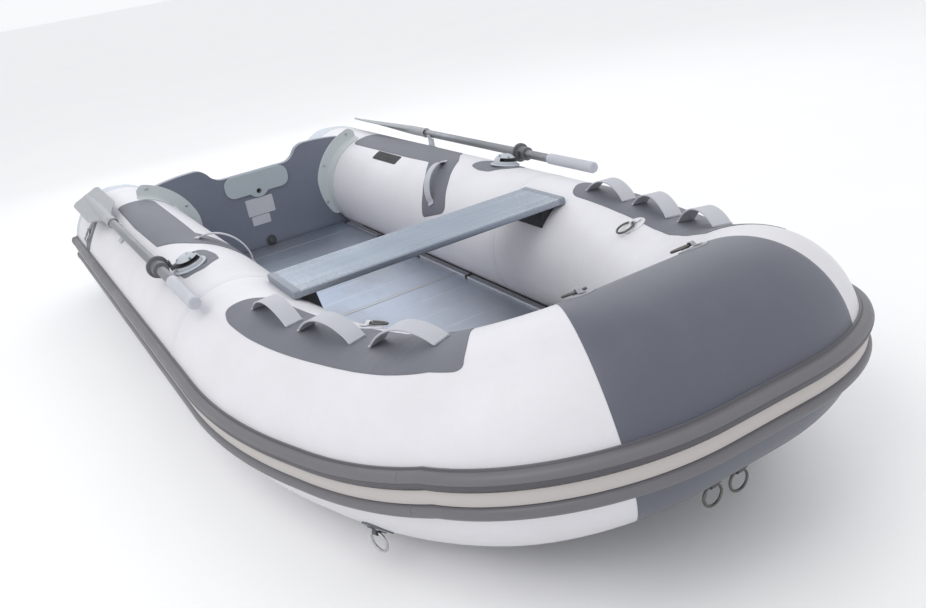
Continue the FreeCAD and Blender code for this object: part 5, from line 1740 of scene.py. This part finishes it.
@dataclass
class Oars:
    """Aluminium shafts, ribbed grips, ribbed blades and the hooks they lie in."""

    axis_y: float = 0.6706
    axis_z: float = 0.4444
    shaft: Flat = (0.340, 1.330)
    grip: Flat = (1.296, 1.540)
    blade: Flat = (-0.240, 0.400)
    half: float = 0.066
    tilt: float = 24.0

    def axis(self, side: Side) -> Matrix:
        """Returns the oar's frame: x forward along it from the transom, z up."""
        return Matrix.Translation((HULL.transom, side.value * self.axis_y, self.axis_z))

    def turned(self, side: Side) -> Matrix:
        """Returns a frame for turned shapes along the oar."""
        return self.axis(side) @ Matrix.Rotation(math.pi / 2, 4, "Y")

    def half_width(self, x: float) -> float:
        """Returns half the blade's width at a place along it."""
        tip, neck = self.blade[0], self.blade[1] - 0.110
        if x < tip + 0.030:
            share = (x - tip) / 0.030
            return self.half * (0.70 + 0.30 * math.sin(share * math.pi / 2))
        if x < neck - 0.170:
            return self.half
        share = min(1.0, (x - (neck - 0.170)) / 0.170)
        ease = share * share * (3 - 2 * share)
        return self.half + (0.0195 - self.half) * ease

    def blade_rows(self) -> list[list[Vector]]:
        """Returns the blade's rows in the oar's frame, untilted."""
        tip, root = self.blade
        rows = []
        for step in range(97):
            x = tip + (root - tip) * step / 96
            half = self.half_width(x)
            spine = 0.0045 + 0.0140 * min(1.0, max(0.0, (x - tip - 0.030) / 0.480))
            if x > root - 0.118:
                spine = max(spine, 0.0184)
            edge = min(1.0, (x - tip + 0.002) / 0.006, (root - x + 0.002) / 0.006)
            spine_wide = min(half, 0.012 + 0.010 * (x - tip) / 0.5)
            cup = 0.004 * math.sin(math.pi * min(1.0, max(0.0, (x - tip) / 0.5)))
            top, low = [], []
            for column in range(-16, 17):
                share = column / 16
                y = half * share
                ridge = max(0.0, 1 - (abs(y) / spine_wide) ** 2) ** 0.5
                rim = 0.0026 + 0.0013 * max(0.0, 1 - abs(abs(share) - 0.93) / 0.07)
                flat = rim * min(1.0, (1 - abs(share)) / 0.03 + 0.35)
                high = max(flat, spine * ridge) * (0.6 + 0.4 * edge)
                sag = -cup * share * share
                top.append(Vector((x, y, sag + high)))
                low.append(Vector((x, y, sag - high)))
            rows.append(top + low[::-1])
        return rows

    def build_oar(self, side: Side) -> None:
        """Builds one side's oar."""
        label, body = side.label, f"oar_{side.label}"
        turned = self.turned(side)
        shaft = Skin()
        aft, fore = self.shaft
        shaft.lathe(turned, [(0.0134, aft + 0.001), (0.0146, aft), (0.0150, aft + 0.001),
                             (0.0150, (aft + fore) / 2), (0.0150, fore - 0.001),
                             (0.0146, fore), (0.0134, fore - 0.001)], 40)
        for x in (0.372, 1.262):
            for turn in (0, 180):
                spin = Matrix.Rotation(math.radians(turn), 4, "X")
                spot = self.axis(side) @ spin @ Matrix.Translation((x + 0.032, 0, 0.0148))
                shaft.lathe(spot, [(0.0032, -0.001), (0.0031, 0.0006), (0.0018, 0.0014),
                                   (0.0, 0.0016)], 16)
        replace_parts(shaft.piece(f"oar_tube_{label}", body, SHAFT_METAL, sharp=40),
                    f"oar_shaft_{label}")
        grip = Skin()
        start, end = self.grip
        profile = [(0.0152, start), (0.0172, start + 0.0006), (0.0184, start + 0.004),
                   (0.0185, start + 0.030)]
        x = start + 0.040
        while x < end - 0.040:
            profile += [(0.0185, x), (0.0178, x + 0.0012), (0.0178, x + 0.0030),
                        (0.0185, x + 0.0042)]
            x += 0.0115
        profile += [(0.0185, end - 0.020), (0.0187, end - 0.012), (0.0184, end - 0.005),
                    (0.0168, end - 0.0012), (0.0120, end), (0.0050, end - 0.0006),
                    (0.0, end - 0.001)]
        grip.lathe(turned, profile, 44)
        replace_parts(grip.piece(f"oar_handle_{label}", body, GRIP_PLASTIC, sharp=38),
                    f"oar_grip_{label}")
        blade = Skin()
        lean = self.axis(side) @ Matrix.Rotation(math.radians(-side.value * self.tilt), 4, "X")
        blade.solid([[lean @ point for point in row] for row in self.blade_rows()])
        socket_aft, socket_fore = self.blade[1] - 0.118, self.blade[1]
        blade.lathe(turned, [(0.0, socket_aft), (0.0190, socket_aft), (0.0192, socket_fore - 0.014),
                             (0.0206, socket_fore - 0.012), (0.0208, socket_fore - 0.003),
                             (0.0196, socket_fore), (0.0153, socket_fore)], 40)
        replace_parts(blade.piece(f"oar_paddle_{label}", body, BLADE_PLASTIC, sharp=42),
                    f"oar_blade_{label}")

    def build(self) -> None:
        """Builds both oars and their hooks."""
        for side in Side:
            self.build_oar(side)
        softened("oar_hooks", "oar_rests", "hull", PALE_PLASTIC, 0.0014)


# --- rings and valves ------------------------------------------------------------------

@dataclass(frozen=True)
class RingKind:
    """Where one pair of rings sits, and what its parts are made of."""

    name: str
    where: float
    angle: float
    wire: Finish
    pad: Finish
    strap: Finish

    def travel(self, side: Side) -> float:
        """Returns the ring's place along the hull line."""
        if self.name == "tow":
            return HULL.length / 2 + side.value * self.where
        return HULL.travel_at(self.where, side)

    def place(self, side: Side) -> Matrix:
        """Returns the ring's frame: x along the tube, y down its skin."""
        turned = HULL.place(self.travel(side), self.angle, 0.0025)
        if turned.col[1].z > 0:
            turned = turned @ Matrix.Rotation(math.pi, 4, "Z")
        return turned

    def swing(self, place: Matrix) -> float:
        """Returns how far a ring under the tube hangs away from its pad, in radians."""
        return 0.0 if self.angle > 0 else math.atan2(-place.col[2].z, -place.col[1].z)


@dataclass
class Rings:
    """Wire rings on glued pads, held by a strap of webbing."""

    kinds: tuple[RingKind, ...] = (
        RingKind("stern", -0.030, 36.0, STEEL_WIRE, PAD_CLOTH, PAD_CLOTH),
        RingKind("inner", 2.076, 112.0, DARK_WIRE, WHITE_TAPE, WHITE_TAPE),
        RingKind("bow", 2.756, 116.0, DARK_WIRE, PAD_CLOTH, PAD_CLOTH),
        RingKind("side", 2.235, -42.0, STEEL_WIRE, BOW_CLOTH, RING_STRAP),
        RingKind("tow", 0.036, -62.0, DARK_WIRE, PATCH_CLOTH, RING_STRAP))
    major: float = 0.024
    minor: float = 0.003
    disc: float = 0.034
    level: float = 0.0065
    rest: float = 0.0022

    def pad(self, middle: float, angle: float, radius: float, high: float,
            wide: float = 1.0) -> Skin:
        """Returns a round pad that follows the tube's skin.

        Args:
            middle: Its middle's distance along the hull line.
            angle: Its middle's angle round the tube.
            radius: Its radius along the tube.
            high: Its height above the skin.
            wide: Its stretch round the tube.
        """
        arc = HULL.radius * math.pi / 180
        rows = []
        for share, level in ((1.0, -0.0004), (0.996, high * 0.75), (0.975, high), (0.8, high),
                             (0.6, high), (0.4, high), (0.2, high), (0.02, high)):
            reach = radius * share
            rows.append([HULL.point(middle + reach * math.cos(turn),
                                    angle + wide * reach * math.sin(turn) / arc, level)
                         for turn in turns(56)])
        skin = Skin()
        skin.solid(rows)
        return skin

    def wire(self, kind: RingKind, side: Side, label: str) -> None:
        """Builds one ring at the angle it rests at."""
        place = kind.place(side)
        lean = place @ Matrix.Translation((0, 0, self.level))
        lean = lean @ Matrix.Rotation(kind.swing(place), 4, "X")
        frames = ring_frames(lean @ Matrix.Translation((0, self.major, 0)), self.major, 56)
        ring = Skin()
        ring.sweep(frames, circle(self.minor, 18), ends=False)
        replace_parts(ring.piece(f"{label}_wire", label, kind.wire), label)

    def strap(self, kind: RingKind, side: Side, label: str) -> None:
        """Builds the strap that crosses one ring."""
        rest, over = self.rest, self.level + self.minor + 0.0032
        rise = [(-0.024, rest), (-0.012, rest + 0.0004), (-0.0075, rest + 0.002),
                (-0.0055, over - 0.0035), (-0.003, over - 0.0006)]
        path = rise + [(0.0, over)] + [(-y, z) for y, z in reversed(rise)]
        frames = path_frames([Vector((0, y, z)) for y, z in path], [Vector((0, 0, -1))] * len(path))
        section = [(y * 0.5, z) for y, z in strap_section(0.026, 0.0018)]
        skin = Skin()
        skin.sweep([kind.place(side) @ turned for turned in frames], section)
        skin.piece(f"{label}_strap", "hull", kind.strap)

    def build(self) -> None:
        """Builds every ring, its pad and its strap."""
        replaced = False
        for kind in self.kinds:
            for side in Side:
                label, middle = f"ring_{kind.name}_{side.label}", kind.travel(side)
                self.wire(kind, side, label)
                pad = self.pad(middle, kind.angle, self.disc, 0.0032)
                piece = pad.piece(f"{label}_pad", "hull", kind.pad)
                if kind.name == "stern":
                    under = self.pad(middle, kind.angle - 5.0, 0.058, 0.0012, 1.25)
                    under.piece(f"{label}_patch", "hull", PATCH_CLOTH)
                if not replaced:
                    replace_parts(piece, "ring_pads")
                    replaced = True
                self.strap(kind, side, label)


@dataclass
class Valves:
    """Inflation valves with their turning caps."""

    forward: float = 1.092

    def build(self) -> None:
        """Builds the valve bodies and caps."""
        for side in Side:
            place = HULL.place(HULL.travel_at(self.forward, side), 180, 0.001)
            body = Skin()
            body.lathe(place, [(0.0225, -0.002), (0.0225, 0.0018), (0.0212, 0.0034),
                               (0.0165, 0.0040), (0.0115, 0.0040), (0.0110, 0.0088), (0.0, 0.0088)],
                       56)
            piece = body.piece(f"valve_seat_{side.label}", "hull", PALE_PLASTIC, sharp=30)
            if side is Side.STARBOARD:
                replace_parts(piece, "valve_bodies")
            cap = Skin()
            rows = []
            for radius, high, wave in (
                    (0.0118, 0.0045, 0), (0.0150, 0.0045, 0.3), (0.0158, 0.0054, 1),
                    (0.0158, 0.0116, 1), (0.0148, 0.0132, 0.3), (0.0120, 0.0136, 0),
                    (0.0040, 0.0132, 0)):
                row = []
                for turn in turns(96):
                    reach = radius + 0.00045 * wave * math.cos(turn * 24)
                    spot = Vector((reach * math.cos(turn), reach * math.sin(turn), high))
                    row.append(place @ spot)
                rows.append(row)
            cap.solid(rows)
            tab = rounded_box((0.0, 0.0015), (0.0048, 0.0286), 0.002, 4)
            cap.prism(place, tab, 0.0128, 0.0180)
            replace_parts(cap.piece(f"valve_knob_{side.label}", f"cap_{side.label}", DARK_PLASTIC,
                                  sharp=40), f"valve_cap_{side.label}")


# --- studio ----------------------------------------------------------------------------

@dataclass
class Studio:
    """A pale floor, soft lights and the camera."""

    spot: tuple[float, float, float] = (2.6125, -1.055, 1.223)
    yaw: float = 2.6628
    pitch: float = -0.3989
    roll: float = -0.1751
    lens: float = 34.12
    tone: Colour = (0.90, 0.90, 0.90)

    def floor(self) -> None:
        """Builds the floor with a slightly uneven matt finish."""
        skin = Skin()
        rows = [[Vector((x, y, -0.0005)) for y in (-60, -6, -2, 0, 2, 6, 60)]
                for x in (-60, -6, -2, 0, 2, 6, 60)]
        skin.net(rows)
        mesh = bpy.data.meshes.new("studio_floor")
        mesh.from_pydata([tuple(point) for point in skin.points], [], skin.faces)
        floor = bpy.data.objects.new("studio_floor", mesh)
        bpy.context.scene.collection.objects.link(floor)
        paint = bpy.data.materials.new("studio floor")
        paint.use_nodes = True
        nodes = Nodes(paint.node_tree)
        shader = paint.node_tree.nodes["Principled BSDF"]
        slow = nodes.noise(nodes.stretched((1, 1, 1)), 1.3, 3.0, 0.5)
        nodes.feed(shader.inputs["Base Color"], nodes.mix(
            nodes.spread(slow, 0.4, 0.6, 0.0, 0.4), self.tone, (0.88, 0.88, 0.885)))
        shader.inputs["Roughness"].default_value = 0.75
        mesh.materials.append(paint)

    def light(self, name: str, spot: tuple[float, float, float], size: float, power: float,
              colour: Colour) -> None:
        """Adds one soft square light aimed at the boat."""
        lamp = bpy.data.lights.new(name, "AREA")
        lamp.shape, lamp.size = "SQUARE", size
        lamp.energy, lamp.color = power, colour
        obj = bpy.data.objects.new(name, lamp)
        obj.matrix_world = facing(spot, Vector(spot) - Vector((0.1, 0, 0.2)))
        obj.visible_camera = False
        bpy.context.scene.collection.objects.link(obj)

    def lights(self) -> None:
        """Adds the sky light and the soft boxes."""
        world = bpy.data.worlds.new("studio")
        world.use_nodes = True
        sky = world.node_tree.nodes["Background"]
        sky.inputs["Color"].default_value = (0.97, 0.98, 1.0, 1.0)
        sky.inputs["Strength"].default_value = 0.97
        bpy.context.scene.world = world
        self.light("key", (1.6, -3.0, 4.4), 3.4, 68.0, (1.0, 0.99, 0.97))
        self.light("fill", (-2.2, 3.4, 3.8), 3.4, 22.0, (0.93, 0.96, 1.0))
        self.light("stern", (-3.4, 0.4, 1.9), 2.2, 13.0, (0.88, 0.94, 1.0))
        bpy.context.scene.view_settings.view_transform = "Standard"

    def camera(self) -> None:
        """Adds the camera."""
        forward = Vector((math.cos(self.yaw) * math.cos(self.pitch),
                          math.sin(self.yaw) * math.cos(self.pitch), math.sin(self.pitch)))
        right = forward.cross(Vector((0, 0, 1))).normalized()
        above = right.cross(forward)
        across = right * math.cos(self.roll) + above * math.sin(self.roll)
        upward = above * math.cos(self.roll) - right * math.sin(self.roll)
        data = bpy.data.cameras.new("camera")
        data.lens, data.sensor_width = self.lens, 36.0
        data.clip_end = 200.0
        obj = bpy.data.objects.new("camera", data)
        turned = Matrix((across, upward, -forward)).transposed().to_4x4()
        obj.matrix_world = Matrix.Translation(Vector(self.spot)) @ turned
        bpy.context.scene.collection.objects.link(obj)
        bpy.context.scene.camera = obj

    def build(self) -> None:
        """Sets up the whole studio."""
        self.floor()
        self.lights()
        self.camera()


def main() -> None:
    """Builds the boat in order, then the studio round it."""
    logging.basicConfig(level=logging.INFO, format="%(name)s: %(message)s")
    for group in (Tubes(), Strakes(), Bottom(), Patches(), Transom(), Deck(), Bench(), Handles(),
                  Oarlocks(), Oars(), Rings(), Valves(), Studio()):
        group.build()
        LOG.info("%s done", type(group).__name__)


if __name__ == "__main__":
    main()
